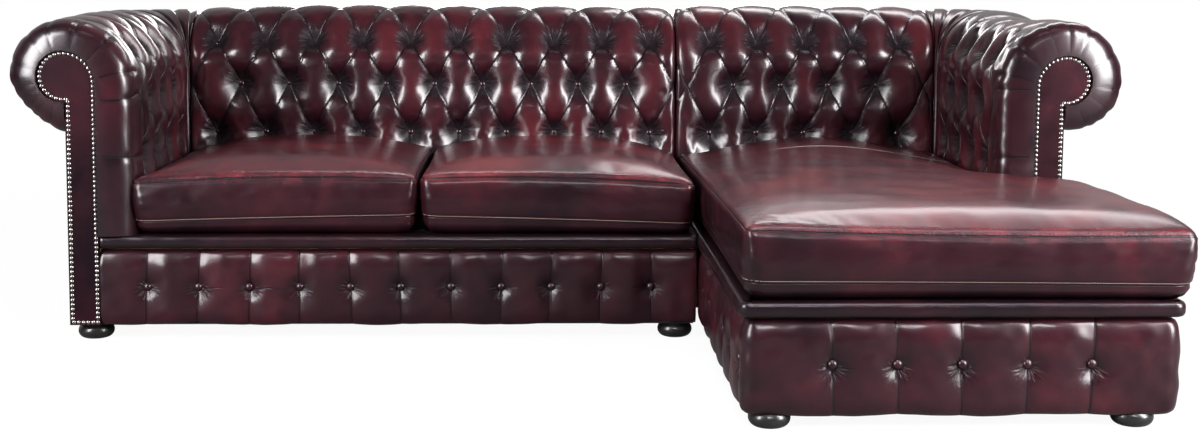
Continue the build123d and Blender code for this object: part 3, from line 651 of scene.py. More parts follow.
# %% Buttoned skin
TUFT_PITCH, ROW_GAP, LOW_ROW = 0.136, 0.137, 0.187
TUFT_MARGIN = 0.060
ROWS = [LOW_ROW + i * ROW_GAP for i in range(4)]
STAR_END = 0.057
PLEAT, DIP, DIP_REACH = 0.0080, 0.0280, 0.046
PUFF_POWER, PUFF_RISE = 0.33, 0.003
WANDER, GRAIN_WAVE = 0.0030, 0.0004
BUTTON_EDGE = (0.006, 0.016)


def even_spots(start, end, pitch, margin):
    """Places at an even pitch, centred between start and end."""
    count = int((end - start - 2 * margin) / pitch) + 1
    first_place = (start + end - (count - 1) * pitch) / 2
    return [first_place + i * pitch for i in range(count)]


def buttons_between(start, end):
    """Places of the buttons in the odd rows, and in the even row between them."""
    odd = even_spots(start, end, TUFT_PITCH, TUFT_MARGIN)
    return odd, [x + TUFT_PITCH / 2 for x in odd[:-1]]


def vectors(*values):
    return np.stack(np.broadcast_arrays(*values), axis=-1)


def buttoned(u, s, odd, even, seed):
    """Depth of the skin below its full height, how firmly it is held, and what the leather reads."""
    x = (u + WANDER * ripple(u, s, 0.12, seed) - odd[0]) / TUFT_PITCH
    climb = np.clip((s + WANDER * ripple(u, s, 0.13, seed + 1) - ROWS[0]) / (2 * ROW_GAP), 0, 1.5)
    a, b = x + climb, x - climb
    pillow = np.clip((1 - (2 * (a % 1) - 1) ** 2) * (1 - (2 * (b % 1) - 1) ** 2), 0, 1) ** PUFF_POWER
    pleat = PLEAT * (0.5 + 0.5 * smooth(0.0, ROWS[0], s)) * (1 - 0.45 * smooth(S_TOP, S_OUT, s))
    depth = pleat * (1 - pillow)
    star = np.full(pillow.shape + (3,), 1.0)
    near = np.full(pillow.shape, 1.0)
    draw = np.random.default_rng(seed)
    spots = [(x, row) for x in odd for row in (ROWS[0], ROWS[2])] + [(x, ROWS[1]) for x in even]
    for number, (station, row) in enumerate(spots):
        du, ds = u - station, s - row
        away = np.hypot(du, ds)
        depth = depth + draw.uniform(0.92, 1.05) * DIP * np.exp(-(away / DIP_REACH) ** 1.9)
        closer = away < near
        near = np.where(closer, away, near)
        star = np.where((closer & (away < STAR_END))[..., None], vectors(du, ds, 3.7 * number), star)
    depth = depth - PUFF_RISE * pillow + GRAIN_WAVE * ripple(u, s, 0.045, seed + 2) * pillow
    held = np.maximum(np.clip(1.6 - near / 0.013, 0, 1), 0.5 * np.clip(1 - pillow / 0.3, 0, 1))
    firmness = (1 - 0.85 * smooth(ROWS[2] + 0.02, ROWS[3] - 0.02, s)) * smooth(*BUTTON_EDGE, near)
    # the puff falls in the pleats and round each button: partly dye there, partly painted shade of the
    # dimple
    looks = {"puff": pillow * smooth(0.010, 0.055, near), "fold": vectors(a, b, firmness), "star": star}
    return depth, held, looks


print("rows of buttons at", [round(row, 3) for row in ROWS[:3]], "along the skin")

# %% [markdown]
# ## Inside backs
# Each inside back is one buttoned pad from its corner to the seam between the modules. Its skin is the
# profile above, sunk by the buttoning, and its hidden side goes round the timber. The edges turn under,
# and the roll stands a little proud of its solid, because leather and wadding lie over the board that the
# solid ends at.

# %% Backs
BACK_EDGE, BACK_EDGE_SINK = 0.030, 0.013
HELD_EDGE, LIFT_REACH = 0.016, 0.35


def turned_edge(distance, reach, sink):
    """Rounding of an edge: sink at the edge itself, nothing beyond reach."""
    return sink * (1 - np.sqrt(np.clip(1 - (1 - np.clip(distance / reach, 0, 1)) ** 2, 0, 1)))


def pad_tube(name, base, normal, face, looks):
    """Close a buttoned skin round the hidden side of its pad."""
    inner = inner_outline()
    hidden = lay(base, normal, np.broadcast_to(inner[:, 0], (len(base), len(inner))), inner[:, 1])
    return tube_of(name, face, hidden, looks)


def edges_held(held, edge):
    skin_edge = np.minimum(S_LINE, S_END - S_LINE)
    return np.maximum(held, np.clip(1.8 - np.minimum(edge, skin_edge) / HELD_EDGE, 0, 1))


def back_pad(name, start, end, lift, corner, seed):
    """Buttoned inside back; the roll stands higher by lift, given at the corner and away from it."""
    odd, even = buttons_between(start, end)
    u = np.linspace(start, end, int((end - start) / STEP))[:, None]
    depth, held, looks = buttoned(u, S_LINE, odd, even, seed)
    edge = np.minimum(u - start, end - u)
    depth = depth + turned_edge(edge, BACK_EDGE, BACK_EDGE_SINK)
    on_roll = smooth(RISE - 0.02, S_TOP, S_LINE) * (1 - smooth(S_OUT, S_END, S_LINE))
    at_corner, beyond = lift
    away = smooth(0.0, LIFT_REACH, np.abs(u - corner))
    depth = depth - on_roll * (at_corner + (beyond - at_corner) * away)
    p, z = skin_point(S_LINE, depth)
    base = np.concatenate([u, np.full_like(u, BACK_AXIS)], axis=1)
    normal = np.concatenate([np.zeros_like(u), np.ones_like(u)], axis=1)
    face = settle(lay(base, normal, p, z), edges_held(held, edge))
    return pad_tube(name, base, normal, face, looks)


sofa_back = back_pad("sofa_tufted_back", -CORNER_X, SOFA_END, (0.002, 0.013), -CORNER_X, 11)
dress(sofa_back, "sofa_module", ["sofa_inside_back"], tufted_leather)
chaise_back = back_pad("chaise_tufted_back", CHAISE_END, CORNER_X, (0.016, 0.018), CORNER_X, 31)
dress(chaise_back, "chaise_module", ["chaise_inside_back"], tufted_leather)

# %% [markdown]
# ## The line of a scroll arm
# An arm carries the same diamonds. At the rear it goes round the corner as a plain roll with a few soft
# folds that fan out, and is drawn in tightly where it meets the back. So its stations run straight along
# the arm and then turn about the corner's centre, which keeps arm and corner one piece of leather.

# %% Arm line and corner folds
ARM_START = SOFA_FRONT - 0.010
TURN_STEPS, TURN_LENGTH = 56, 0.16
CORNER_FOLDS, FOLD_WIDTH, FOLD_LEAN = (0.16, 0.42, 0.68, 0.9), 0.055, 0.05


def arm_line(side):
    """Lengths, plan points, outward normals and turned angle of the stations along an arm and its corner."""
    run = ARM_START + spread((CORNER_Y - ARM_START, STEP))
    turn = np.linspace(0, math.pi / 2, TURN_STEPS + 1)[1:]
    u = np.concatenate([run, CORNER_Y + turn * TURN_LENGTH])[:, None]
    angle = np.concatenate([np.zeros(len(run)), turn])
    normal = np.stack([side * np.cos(angle), np.sin(angle)], axis=1)
    straight = np.stack([np.full(len(run), side * ARM_AXIS), run], axis=1)
    bent = np.array([side * CORNER_X, CORNER_Y]) + SKIN_R * normal[len(run):]
    return u, np.concatenate([straight, bent]), normal, angle[:, None]


def corner_folds(u, angle):
    """Soft folds that fan out over the corner roll, one where each lies deepest."""
    fan = np.zeros((len(u), S_LINE.shape[1]))
    for k, share in enumerate(CORNER_FOLDS):
        lean = share * math.pi / 2 + FOLD_LEAN * np.sin(S_LINE * 9 + k)
        fan = np.maximum(fan, np.exp(-((angle - lean) / FOLD_WIDTH) ** 2))
    fan = fan * smooth(CORNER_Y, CORNER_Y + 0.01, u) * smooth(RISE, RISE + 0.08, S_LINE)
    return fan * (1 - 0.6 * smooth(S_TOP, S_OUT, S_LINE))


print("stations along an arm:", len(arm_line(1)[0]))

# %% [markdown]
# ## The scroll's front border
# In front the leather turns over a plain padded border, is gathered in radial folds round the scroll and
# is tacked along the facing. The gathers lie closer together under the scroll, where the outline is
# shorter. Their places are drawn at random from a fixed seed, so that they look made by hand and still
# come out the same every time.

# %% Front border
BORDER_SINK, BORDER_POWER = 0.072, 2.3
BORDER_END = 0.078
LOW_GATHERS, FIRST_GATHER = (0.185, 0.350), 0.40
WIDE_GAP, CLOSE_GAP = (0.050, 0.100), (0.028, 0.048)


def gather_places(seed):
    draw = np.random.default_rng(seed)
    places = [LOW_GATHERS[0] + draw.uniform(-0.01, 0.01), LOW_GATHERS[1] + draw.uniform(-0.015, 0.015)]
    s = FIRST_GATHER
    while s < S_END - 0.05:
        places.append(s)
        s += draw.uniform(*(WIDE_GAP if s < S_OUT + 0.03 else CLOSE_GAP))
    return np.array(places)


def front_gathers(behind, seed):
    """How far each point lies from a gather, and the gathers as folds for the leather."""
    places = gather_places(seed + 5)
    s_lean = S_LINE + 0.22 * (behind - 0.03) * np.sin(S_LINE * 31 + seed)
    off = np.min(np.abs(s_lean[..., None] - places), axis=-1)
    knots = np.concatenate([[0.0, places[0] - 0.03], places, [places[-1] + 0.03, S_END]])
    counts = np.concatenate([[-0.5, -0.5], np.arange(len(places)), [len(places) - 0.5] * 2])
    strength = 0.75 * (1 - smooth(0.048, 0.070, behind))
    return off, vectors(np.interp(s_lean, knots, counts), 0.5, strength)


def scroll_form(u, behind, angle, reach, plump, lift, under):
    """Depth of the plain form: ends turned under, a plumper scroll, a higher rear, a flatter underside."""
    front_edge = np.clip(1 - behind / reach, 0, 1)
    depth = BORDER_SINK * (1 - np.clip(1 - front_edge ** BORDER_POWER, 0, 1) ** (1 / BORDER_POWER))
    depth = depth + turned_edge((math.pi / 2 - angle) * 0.30, 0.036, 0.013)
    on_roll = smooth(RISE - 0.02, S_TOP, S_LINE) * (1 - 0.8 * smooth(S_OUT + 0.12, S_END, S_LINE))
    depth = depth - plump * on_roll * (1 - smooth(0.10, 0.34, behind))
    depth = depth - lift * on_roll * (1 - smooth(S_OUT, S_END, S_LINE)) * smooth(0.28, CORNER_Y, u)
    t = np.clip((S_LINE - S_OUT) / (S_END - S_OUT), 0, 1)
    return depth + under[0] * np.sin(math.pi * t) ** 1.3 + under[1] * smooth(0.1, 1.0, t)


print("gathers on the left scroll:", len(gather_places(56)))

# %% [markdown]
# ## Scroll arms
# Now the parts of an arm come together: diamonds along the inside, the plain corner, and the gathered
# border. The two arms aren't quite alike. The left scroll is slimmer and drawn flat below, the right one
# is plumper, as in the photograph, so each gets its own few numbers.

# %% Arms with their corners
LATTICE_FADE, GATHER_FADE = (0.060, 0.112), (0.052, 0.100)
CORNER_FADE = (CORNER_Y - 0.045, CORNER_Y + 0.004)
FAN_DEPTH, CORNER_HOLLOW, GATHER_DEPTH = 0.0075, 0.012, 0.0026
NAIL_SHADE, FOLD_FADE = (0.004, 0.026), (0.088, 0.115)
BORDER_TONE, CORNER_TONE = 0.5, 0.55
FIRST_BUTTON = SOFA_FRONT + 0.075


def arm_pad(name, side, seed, reach, plump, lift, under):
    u, base, normal, angle = arm_line(side)
    behind = u - ARM_START
    odd, even = buttons_between(FIRST_BUTTON, CORNER_Y)
    depth, held, looks = buttoned(u, S_LINE, odd, even, seed)
    lattice = smooth(*LATTICE_FADE, behind)
    in_corner = smooth(*CORNER_FADE, u)
    at_front = 1 - smooth(*GATHER_FADE, behind)
    fan = corner_folds(u, angle)
    off, gathers = front_gathers(behind, seed)
    # the form: diamonds only where the lattice runs, then corner, border and gathers
    depth = depth * lattice * (1 - in_corner) + FAN_DEPTH * fan
    depth = depth + CORNER_HOLLOW * in_corner * (1 - smooth(RISE * 0.8, RISE + 0.12, S_LINE))
    depth = depth + scroll_form(u, behind, angle, reach, plump, lift, under)
    depth = depth + GATHER_DEPTH * np.exp(-(off / 0.009) ** 2) * at_front
    depth = depth + 0.0008 * ripple(u, S_LINE, 0.035, seed + 9) * (1 - lattice)
    depth = np.where(S_LINE > RISE, np.minimum(depth, BORDER_SINK + 0.001), depth)
    # the tone: even on corner and border; darker in folds, gathers and beside the nails, partly dye, partly
    # painted shade
    puff = looks["puff"] * lattice + (1 - lattice) * BORDER_TONE
    puff = puff * (1 - in_corner) + in_corner * CORNER_TONE
    puff = puff - 0.5 * (1 - smooth(*NAIL_SHADE, behind)) * smooth(RISE, RISE + 0.1, S_LINE)
    puff = puff - 0.45 * fan - 0.35 * np.exp(-(off / 0.006) ** 2) * at_front
    looks["puff"] = np.clip(puff, 0, 1)
    on_border = (behind < BORDER_END)[..., None]
    looks["fold"][..., 2] *= smooth(*FOLD_FADE, behind) * (1 - smooth(CORNER_Y - 0.03, CORNER_Y, u))
    looks["fold"] = np.where(on_border, gathers, looks["fold"])
    looks["star"] = np.where(on_border, 1.0, looks["star"])
    held = np.maximum(held * lattice, np.clip(1.3 - behind / 0.05, 0, 1))
    held = edges_held(np.maximum(held, smooth(CORNER_Y - 0.05, CORNER_Y - 0.02, u)), behind)
    p, z = skin_point(S_LINE, depth)
    face = settle(lay(base, normal, p, z), held)
    return pad_tube(name, base, normal, face, looks)


sofa_arm = arm_pad("sofa_tufted_arm", -1, 51, reach=0.058, plump=-0.004, lift=0.001, under=(0.014, 0.001))
dress(sofa_arm, "sofa_module", ["sofa_inside_arm", "sofa_corner_pad"], tufted_leather)
chaise_arm = arm_pad("chaise_tufted_arm", 1, 71, reach=0.042, plump=0.005, lift=0.016, under=(0.000, 0.017))
dress(chaise_arm, "chaise_module", ["chaise_inside_arm", "chaise_corner_pad"], tufted_leather)

# %% [markdown]
# ## Lines in plan
# The plain panels below the seat and outside the arms are slabs that follow a line on the floor plan. A
# curve with a bevel could do that, but its points couldn't carry buttons and folds. So a line of corners
# is rounded here into stations with outward normals, and a slab is laid along it with its outer face sunk
# by a depth.

# %% Tools for panels
BASE_LOW, BASE_HIGH = 0.039, 0.222
LIP_LOW, LIP_HIGH = 0.226, 0.258
PANEL, LIP_DEPTH = 0.026, 0.058
CHAISE_RIGHT = ARM_AXIS + COVER_P
BUTTON_Z = (BASE_LOW + BASE_HIGH) / 2


def plan_line(corners, radius, step):
    """Points, outward normals and lengths along a line of corners in plan, with the corners rounded."""
    places, normals = [], []
    corners = [np.array(c, float) for c in corners]
    ways = [(b - a) / np.linalg.norm(b - a) for a, b in zip(corners, corners[1:])]
    outward = [np.array([way[1], -way[0]]) for way in ways]
    last = len(ways) - 1
    for k, way in enumerate(ways):
        begin = radius if k > 0 else 0.0
        stop = np.linalg.norm(corners[k + 1] - corners[k]) - (radius if k < last else 0.0)
        for t in np.linspace(begin, stop, max(2, int((stop - begin) / step))):
            places.append(corners[k] + way * t)
            normals.append(outward[k])
        if k < last:
            centre = corners[k + 1] - radius * (outward[k] + outward[k + 1])
            for t in np.linspace(0, math.pi / 2, 11)[1:-1]:
                normals.append(outward[k] * math.cos(t) + outward[k + 1] * math.sin(t))
                places.append(centre + radius * normals[-1])
    return np.array(places), np.array(normals), lengths_along(np.array(places))


def lengths_along(places):
    return np.concatenate([[0], np.cumsum(np.linalg.norm(np.diff(places, axis=0), axis=1))])[:, None]


def panel_tube(name, line, low, high, depth_of, thick, rows):
    """A padded slab along a line in plan, with its outer face sunk by depth_of(places, u, z)."""
    places, normals, u = line
    z = np.linspace(low, high, rows)[None, :]
    depth, looks = depth_of(places, u, z)
    z = z - looks.pop("sag", 0.0) * (high - z) / (high - low)
    face = lay(places, normals, -depth, z)
    hidden = lay(places, normals, np.full((len(places), 2), -thick), np.array([high, low]))
    return tube_of(name, face, hidden, looks)


def round_edges(x, low, high, reach, sink):
    return turned_edge(np.minimum(x - low, high - x), reach, sink)


print("base panels are", round(BASE_HIGH - BASE_LOW, 3), "high")

# %% [markdown]
# ## How a base panel and a lip are padded
# A base panel is a flat pad with one row of buttons and an upright pleat through each. Between pleats it
# swells, and some buttons tug a short level crease to one side. The count of pleats along the panel is
# worked out from the buttons' places, so a whole number falls on every button, as the hide expects. The
# lip above is a plain soft roll.

# %% Depth of base and lip
BASE_DIP, BASE_DIP_REACH = 0.0105, 0.025
BASE_PLEAT, BASE_PROUD, BASE_RIPPLE = 0.0085, 0.004, 0.0011
BASE_TOP_EDGE, BASE_LOW_EDGE, BASE_END = (0.052, 0.021), (0.036, 0.013), (0.012, 0.003)
LIP_PROUD, LIP_RIPPLE = 0.002, 0.0008
LIP_EDGE, LIP_END = (0.013, 0.010), (0.008, 0.003)


def base_depth(button_spots, seed, sag):
    """Depth of a base panel round its row of buttons; its lower edge hangs by sag in the middle."""
    def depth_of(places, u, z):
        draw = np.random.default_rng(seed)
        spots = np.array(button_spots)
        marks = np.sort([u[np.argmin(np.linalg.norm(places - spot, axis=1)), 0] for spot in spots])
        lean = 0.05 * np.sin(u * 7 + seed) * (z - BUTTON_Z)
        knots = np.concatenate([[marks[0] - 0.06], marks, [marks[-1] + 0.06]])
        numbers = np.concatenate([[-0.5], np.arange(len(marks)), [len(marks) - 0.5]])
        count = np.interp(u + lean, knots, numbers)
        gap = np.abs((count + 0.5) % 1 - 0.5) * 2
        swell = np.sin(math.pi / 2 * gap) ** 0.75
        depth = turned_edge(BASE_HIGH - z, BASE_TOP_EDGE[0] - 0.008 * swell, BASE_TOP_EDGE[1])
        depth = depth + turned_edge(z - BASE_LOW, *BASE_LOW_EDGE)
        depth = depth + round_edges(u, u[0, 0], u[-1, 0], *BASE_END) + BASE_PLEAT * (1 - swell)
        star = np.full(depth.shape + (3,), 1.0)
        near = np.full(depth.shape, 1.0)
        firmness = np.exp(-(gap / 0.16) ** 2)
        for number, mark in enumerate(marks):
            du, dz = u - mark, z - BUTTON_Z
            away = np.hypot(du, dz)
            depth = depth + draw.uniform(0.8, 1.1) * BASE_DIP * np.exp(-(away / BASE_DIP_REACH) ** 1.8)
            closer = away < near
            near = np.where(closer, away, near)
            # puckers reach further below a button than above it
            fan = np.where(dz > 0, 2.0, 1.25)
            offset = vectors(du * fan, dz * fan, -5.3 * (number + 1))
            star = np.where((closer & (away * fan < STAR_END))[..., None], offset, star)
            tug = draw.choice([-1, 0, 1, 1]) * du
            level_crease = smooth(0.006, 0.014, tug) * (1 - smooth(0.02, draw.uniform(0.03, 0.09), tug))
            firmness = np.maximum(firmness, level_crease)
        depth = depth + BASE_RIPPLE * ripple(u, z, 0.06, seed + 1)
        level_line = (z - BUTTON_Z + 0.004 * ripple(u, z, 0.08, seed + 3)) / 0.13
        share = (u - u[0, 0]) / (u[-1, 0] - u[0, 0])
        hang = np.sin(math.pi * share) ** 0.7
        # darker round each button: partly dye, partly painted shade of the dimple
        looks = {"puff": np.clip(0.9 - 0.7 * np.exp(-(near / 0.024) ** 2), 0, 1),
                 "fold": vectors(count, level_line, firmness * smooth(0.006, 0.014, near)),
                 "star": star, "sag": sag * hang + 0.002 * np.sin(u * 21)}
        return depth - BASE_PROUD, looks
    return depth_of


def lip_depth(places, u, z):
    depth = round_edges(z, LIP_LOW, LIP_HIGH, *LIP_EDGE) + round_edges(u, u[0, 0], u[-1, 0], *LIP_END)
    depth = depth + LIP_RIPPLE * ripple(u, z, 0.07, 95) - LIP_PROUD
    # the lip is dark all over: painted shade under the cushions' overhang
    return depth, {"puff": np.full(depth.shape, 0.3)}


print("base buttons at height", round(BUTTON_Z, 4))

# %% [markdown]
# ## Base and lip of the sofa
# The sofa shows only its front below the seat: one straight base panel from the left facing to the seam,
# with the narrow lip above it. Both follow the same line, so their ends meet the facing and the chaise
# alike.

# %% Sofa base and lip
BASE_ROWS, LIP_ROWS = 40, 14
SOFA_PITCH, SOFA_MARGIN = 0.123, 0.100

sofa_start = -ARM_AXIS - FRAME_P
sofa_line = plan_line([(sofa_start, SOFA_FRONT), (SOFA_END, SOFA_FRONT)], 0.0, STEP)
sofa_spots = [(x, SOFA_FRONT) for x in even_spots(sofa_start, SOFA_END, SOFA_PITCH, SOFA_MARGIN)]
sofa_base = panel_tube("sofa_base_leather", sofa_line, BASE_LOW, BASE_HIGH,
                       base_depth(sofa_spots, 91, 0.002), PANEL, BASE_ROWS)
dress(sofa_base, "sofa_module", ["sofa_base_panel"], panel_leather)
sofa_lip = panel_tube("sofa_lip_leather", sofa_line, LIP_LOW, LIP_HIGH, lip_depth, LIP_DEPTH, LIP_ROWS)
dress(sofa_lip, "sofa_module", ["sofa_front_lip"], panel_leather)

# %% [markdown]
# ## Base and lip of the chaise
# The chaise stands out in front of the sofa, so its base goes round three sides, and its lip too. The
# corners are rounded like padded ones. The base runs a little behind the sofa's front, so that no bare
# timber shows in the inner corner, and its lower edge hangs slightly, as it does in the photograph.

# %% Chaise base and lip
CHAISE_PITCH, FRONT_MARGIN, SIDE_MARGIN = 0.131, 0.130, 0.040
BASE_INSET, BASE_CORNER, LIP_CORNER = 0.006, 0.034, 0.024
LEFT_BACK, RIGHT_BACK = SOFA_FRONT - 0.004, SOFA_FRONT + 0.012
BEHIND_SOFA = 0.024
LIP_BACK = BACK_AXIS - 0.080

base_left, base_right = CHAISE_END + BASE_INSET, CHAISE_RIGHT - BASE_INSET
base_corners = [(base_left, LEFT_BACK + BEHIND_SOFA), (base_left, CHAISE_FRONT), (base_right, CHAISE_FRONT),
                (base_right, RIGHT_BACK)]
chaise_spots = [(x, CHAISE_FRONT) for x in even_spots(CHAISE_END, CHAISE_RIGHT, CHAISE_PITCH, FRONT_MARGIN)]
for x, rear in ((CHAISE_END, LEFT_BACK), (CHAISE_RIGHT, RIGHT_BACK)):
    chaise_spots += [(x, y) for y in even_spots(CHAISE_FRONT + PANEL, rear, CHAISE_PITCH, SIDE_MARGIN)]
base_line = plan_line(base_corners, BASE_CORNER, STEP)
chaise_base = panel_tube("chaise_base_leather", base_line, BASE_LOW, BASE_HIGH,
                         base_depth(chaise_spots, 101, 0.013), PANEL, BASE_ROWS)
dress(chaise_base, "chaise_module", ["chaise_base_panels"], panel_leather)
lip_corners = [(CHAISE_END, LIP_BACK), (CHAISE_END, CHAISE_FRONT), (CHAISE_RIGHT, CHAISE_FRONT),
               (CHAISE_RIGHT, SOFA_FRONT - 0.003)]
lip_line = plan_line(lip_corners, LIP_CORNER, STEP)
chaise_lip = panel_tube("chaise_lip_leather", lip_line, LIP_LOW, LIP_HIGH, lip_depth, LIP_DEPTH, LIP_ROWS)
dress(chaise_lip, "chaise_module", ["chaise_front_lip"], panel_leather)

# %% [markdown]
# ## Outside of arms and backs
# Behind and beside, the leather is one tight plain panel, from the facing round the corner to the seam,
# tucked up under the roll. It is stapled along its lower edge, which leaves small upright pulls there. A
# wave that fades with height gives them, and two soft ripples keep the large plain face from looking like
# a board.

# %% Outside panels
OUTSIDE_LOW, OUTSIDE_HIGH, OUTSIDE_ROWS = BASE_LOW, ROLL_Z - HEAD_R, 60
OUTSIDE_EDGE, OUTSIDE_END = (0.03, 0.008), (0.025, 0.008)
PULL_GAP, PULL_REACH, PULL_DEPTH = 0.055, 0.03, 0.0010
FACING_DEPTH = 0.013


def outside_line(side, end, back_count):
    """Stations from the facing along the arm, round the corner and along the back."""
    run = np.linspace(SOFA_FRONT + FACING_DEPTH, CORNER_Y, 70)
    turn = np.linspace(0, math.pi / 2, 22)[1:-1]
    back = np.linspace(side * CORNER_X, end, back_count)
    angle = np.concatenate([np.zeros(len(run)), turn, np.full(len(back), math.pi / 2)])
    normals = np.stack([side * np.cos(angle), np.sin(angle)], axis=1)
    on_bend = normals[len(run):len(run) + len(turn)]
    bent = np.array([side * CORNER_X, CORNER_Y]) + (SKIN_R + COVER_P) * on_bend
    places = np.concatenate([np.stack([np.full(len(run), side * (ARM_AXIS + COVER_P)), run], axis=1), bent,
                             np.stack([back, np.full(len(back), BACK_AXIS + COVER_P)], axis=1)])
    return places, normals, lengths_along(places)


def outside_depth(seed):
    def depth_of(places, u, z):
        depth = round_edges(z, OUTSIDE_LOW, OUTSIDE_HIGH + 0.1, *OUTSIDE_EDGE)
        depth = depth + round_edges(u, u[0, 0], u[-1, 0], *OUTSIDE_END)
        depth = depth + 0.0012 * ripple(u, z, 0.22, seed) + 0.0005 * ripple(u, z, 0.05, seed + 1)
        wave = np.sin(u * 2 * math.pi / PULL_GAP + 2 * np.sin(u * 9))
        pulls = wave * np.exp(-(z - OUTSIDE_LOW) / PULL_REACH)
        return depth + PULL_DEPTH * (1 + pulls), {"puff": np.full(depth.shape, 0.75)}
    return depth_of


for module, side, end, back_count, seed in (("sofa", -1, SOFA_END, 90, 111),
                                            ("chaise", 1, CHAISE_END, 55, 121)):
    line = outside_line(side, end, back_count)
    outside = panel_tube(module + "_outside_leather", line, OUTSIDE_LOW, OUTSIDE_HIGH, outside_depth(seed),
                         PANEL, OUTSIDE_ROWS)
    replaced = [module + "_outside_arm", module + "_outside_back"]
    dress(outside, module + "_module", replaced, panel_leather)

# %% [markdown]
# ## The shell of a box cushion
# A box cushion is a top panel, a border strip and a bottom panel, sewn together. The top is the grid that
# is added first. Its outline is extruded downward row by row for the border and the turn under it, and
# the last row is filled. A cube with subdivisions would also do, but here every point keeps its place in
# the grid and its row.

# %% Cushion shell
BORDER_ROWS, UNDER_ROWS = 14, 6


def cushion_shell(name, n_x, n_y):
    """Grid with its outline extruded downward and filled below, with each point's grid place and row."""
    obj = grid_sheet(name, n_x, n_y)[0]
    only(obj)
    bpy.ops.object.mode_set(mode="EDIT")
    bpy.ops.mesh.select_mode(type="EDGE")
    bpy.ops.mesh.select_all(action="DESELECT")
    bpy.ops.mesh.select_non_manifold(extend=False, use_wire=False, use_boundary=True, use_multi_face=False,
                                     use_non_contiguous=False, use_verts=False)
    for _ in range(BORDER_ROWS + UNDER_ROWS):
        bpy.ops.mesh.extrude_region_move(TRANSFORM_OT_translate={"value": (0, 0, -1)})
    bpy.ops.mesh.edge_face_add()
    bpy.ops.mesh.select_all(action="SELECT")
    bpy.ops.mesh.normals_make_consistent(inside=False)
    bpy.ops.object.mode_set(mode="OBJECT")
    i, j = grid_place(obj, n_x, n_y)
    return obj, i, j, np.rint(-read(obj.data)[:, 2]).astype(int)


def spaced(length, step, extra=()):
    """Fractions along a length, closer together near its ends."""
    t = np.linspace(0, 1, int(length / step))
    t = t - 0.45 * np.sin(2 * math.pi * t) / (2 * math.pi)
    return np.unique(np.concatenate([t, extra]))


print("rows below a cushion's top:", BORDER_ROWS + UNDER_ROWS)

# %% [markdown]
# ## Crown, border and corners of a cushion
# The filling lifts the top into a crown. In front it rises steeply from the seam, as a shoulder, and at
# the rear it is gentle. Distances from the edges drive that rise, and a soft least of them avoids creases
# where two sides meet. The border bulges between its seams and tucks under. It pulls in between the
# corners, which are rounded.

# %% Cushion form
SEAT_Z = SEAT_TOP + 0.0006
BULGE, SIDE_BULGE, TUCK = 0.009, 0.004, 0.042
CORNER_R, CORNER_BORDER, CORNER_UNDER = 0.020, 0.026, 0.016
FRONT_PULL, SIDE_PULL = 0.007, 0.004
SHOULDER, ROLL_OVER, ROLL_REACH, MITRE = 0.170, 0.0085, 0.022, 0.020
BORDER_WAVES = ((0.0008, 0.05, 2), (0.0016, 0.16, 3))
REAR_BULGE = 0.15


def rounded(x, y, left, right, front, rear, radius):
    """Square corners of the plan, drawn on to rounded ones."""
    dx = np.maximum(radius - (x - left), 0) - np.maximum(radius - (right - x), 0)
    dy = np.maximum(radius - (y - front), 0) - np.maximum(radius - (rear - y), 0)
    scale = np.maximum(np.abs(dx), np.abs(dy)) / np.maximum(np.hypot(dx, dy), 1e-9)
    scale = np.where((dx != 0) & (dy != 0), scale, 1)
    return x + dx * (1 - scale), y + dy * (1 - scale)


def least(*distances):
    """The least of some distances, with a soft change from one to the next."""
    return np.maximum(-MITRE * np.log(sum(np.exp(-np.clip(d, 0, 1) / MITRE) for d in distances)), 0)


def top_height(form, tx, ty, sx, rise, inside):
    """Height of the top panel, and how far its filling lifts it, from zero to one."""
    seam_z = np.polyval(form["high_seam"], tx) - form["rear_drop"] * ty * (1 - tx) ** 2
    swell = 1 - (1 - np.clip(rise / SHOULDER, 0, 1)) ** 2.3
    rearward = form["gentle"] * smooth(0.25, 0.85, ty)
    bow = np.sin(math.pi * sx)
    arch = (1 - rearward) * bow ** 0.7 + rearward * bow ** 1.15
    shoulder = form["shoulder"] * (1 - rearward) - ROLL_OVER
    roll_over = ROLL_OVER * (1 - (1 - np.clip(inside / ROLL_REACH, 0, 1)) ** 2)
    crown = form["crown"] - seam_z - shoulder - ROLL_OVER
    return seam_z + roll_over + shoulder * swell + crown * arch * swell, swell


def border_move(x, y, tx, ty, ex, ey, t_border, t_under, seed):
    """Move of the border's points in plan: bulged between the seams, tucked under, flatter at the rear."""
    ax = np.where(tx < 0.5, -1.0, 1.0) * (ex <= ey + 1e-9)
    ay = np.where(ty < 0.5, -1.0, REAR_BULGE) * (ey <= ex + 1e-9)
    bow = np.sin(math.pi * t_border)
    across = np.where(np.abs(ax) > 0, SIDE_BULGE, BULGE) * bow ** 0.75
    across = across - TUCK * (1 - np.cos(t_under * math.pi / 2))
    for amount, size, more in BORDER_WAVES:
        across = across + amount * ripple(x + y, 0.5 * t_border, size, seed + more) * bow
    length = np.maximum(np.hypot(ax, ay), 1.0)
    return across * ax / length, across * ay / length


print("cushions rest at", round(SEAT_Z, 4))

# %% [markdown]
# ## Sewing a cushion
# The points now go to their places, and each learns how far it lies from the seams. The long top of the
# chaise is joined from two hides, so a third row of stitches crosses it. Small puckers follow the top
# seam, where the thread draws the leather in. How firmly a point is held is noted for the next step.

# %% Cushion builder
SEAM_LOW, SEAM_HIGH = 0.298, 0.400
STITCH_LENGTH = 0.0055
CROSS_SEAM, CROSS_FROM, CROSS_RIDGE = 0.305, 0.56, 0.0018
PUCKER_DEPTH, TOP_WAVE = 0.0012, 0.0008


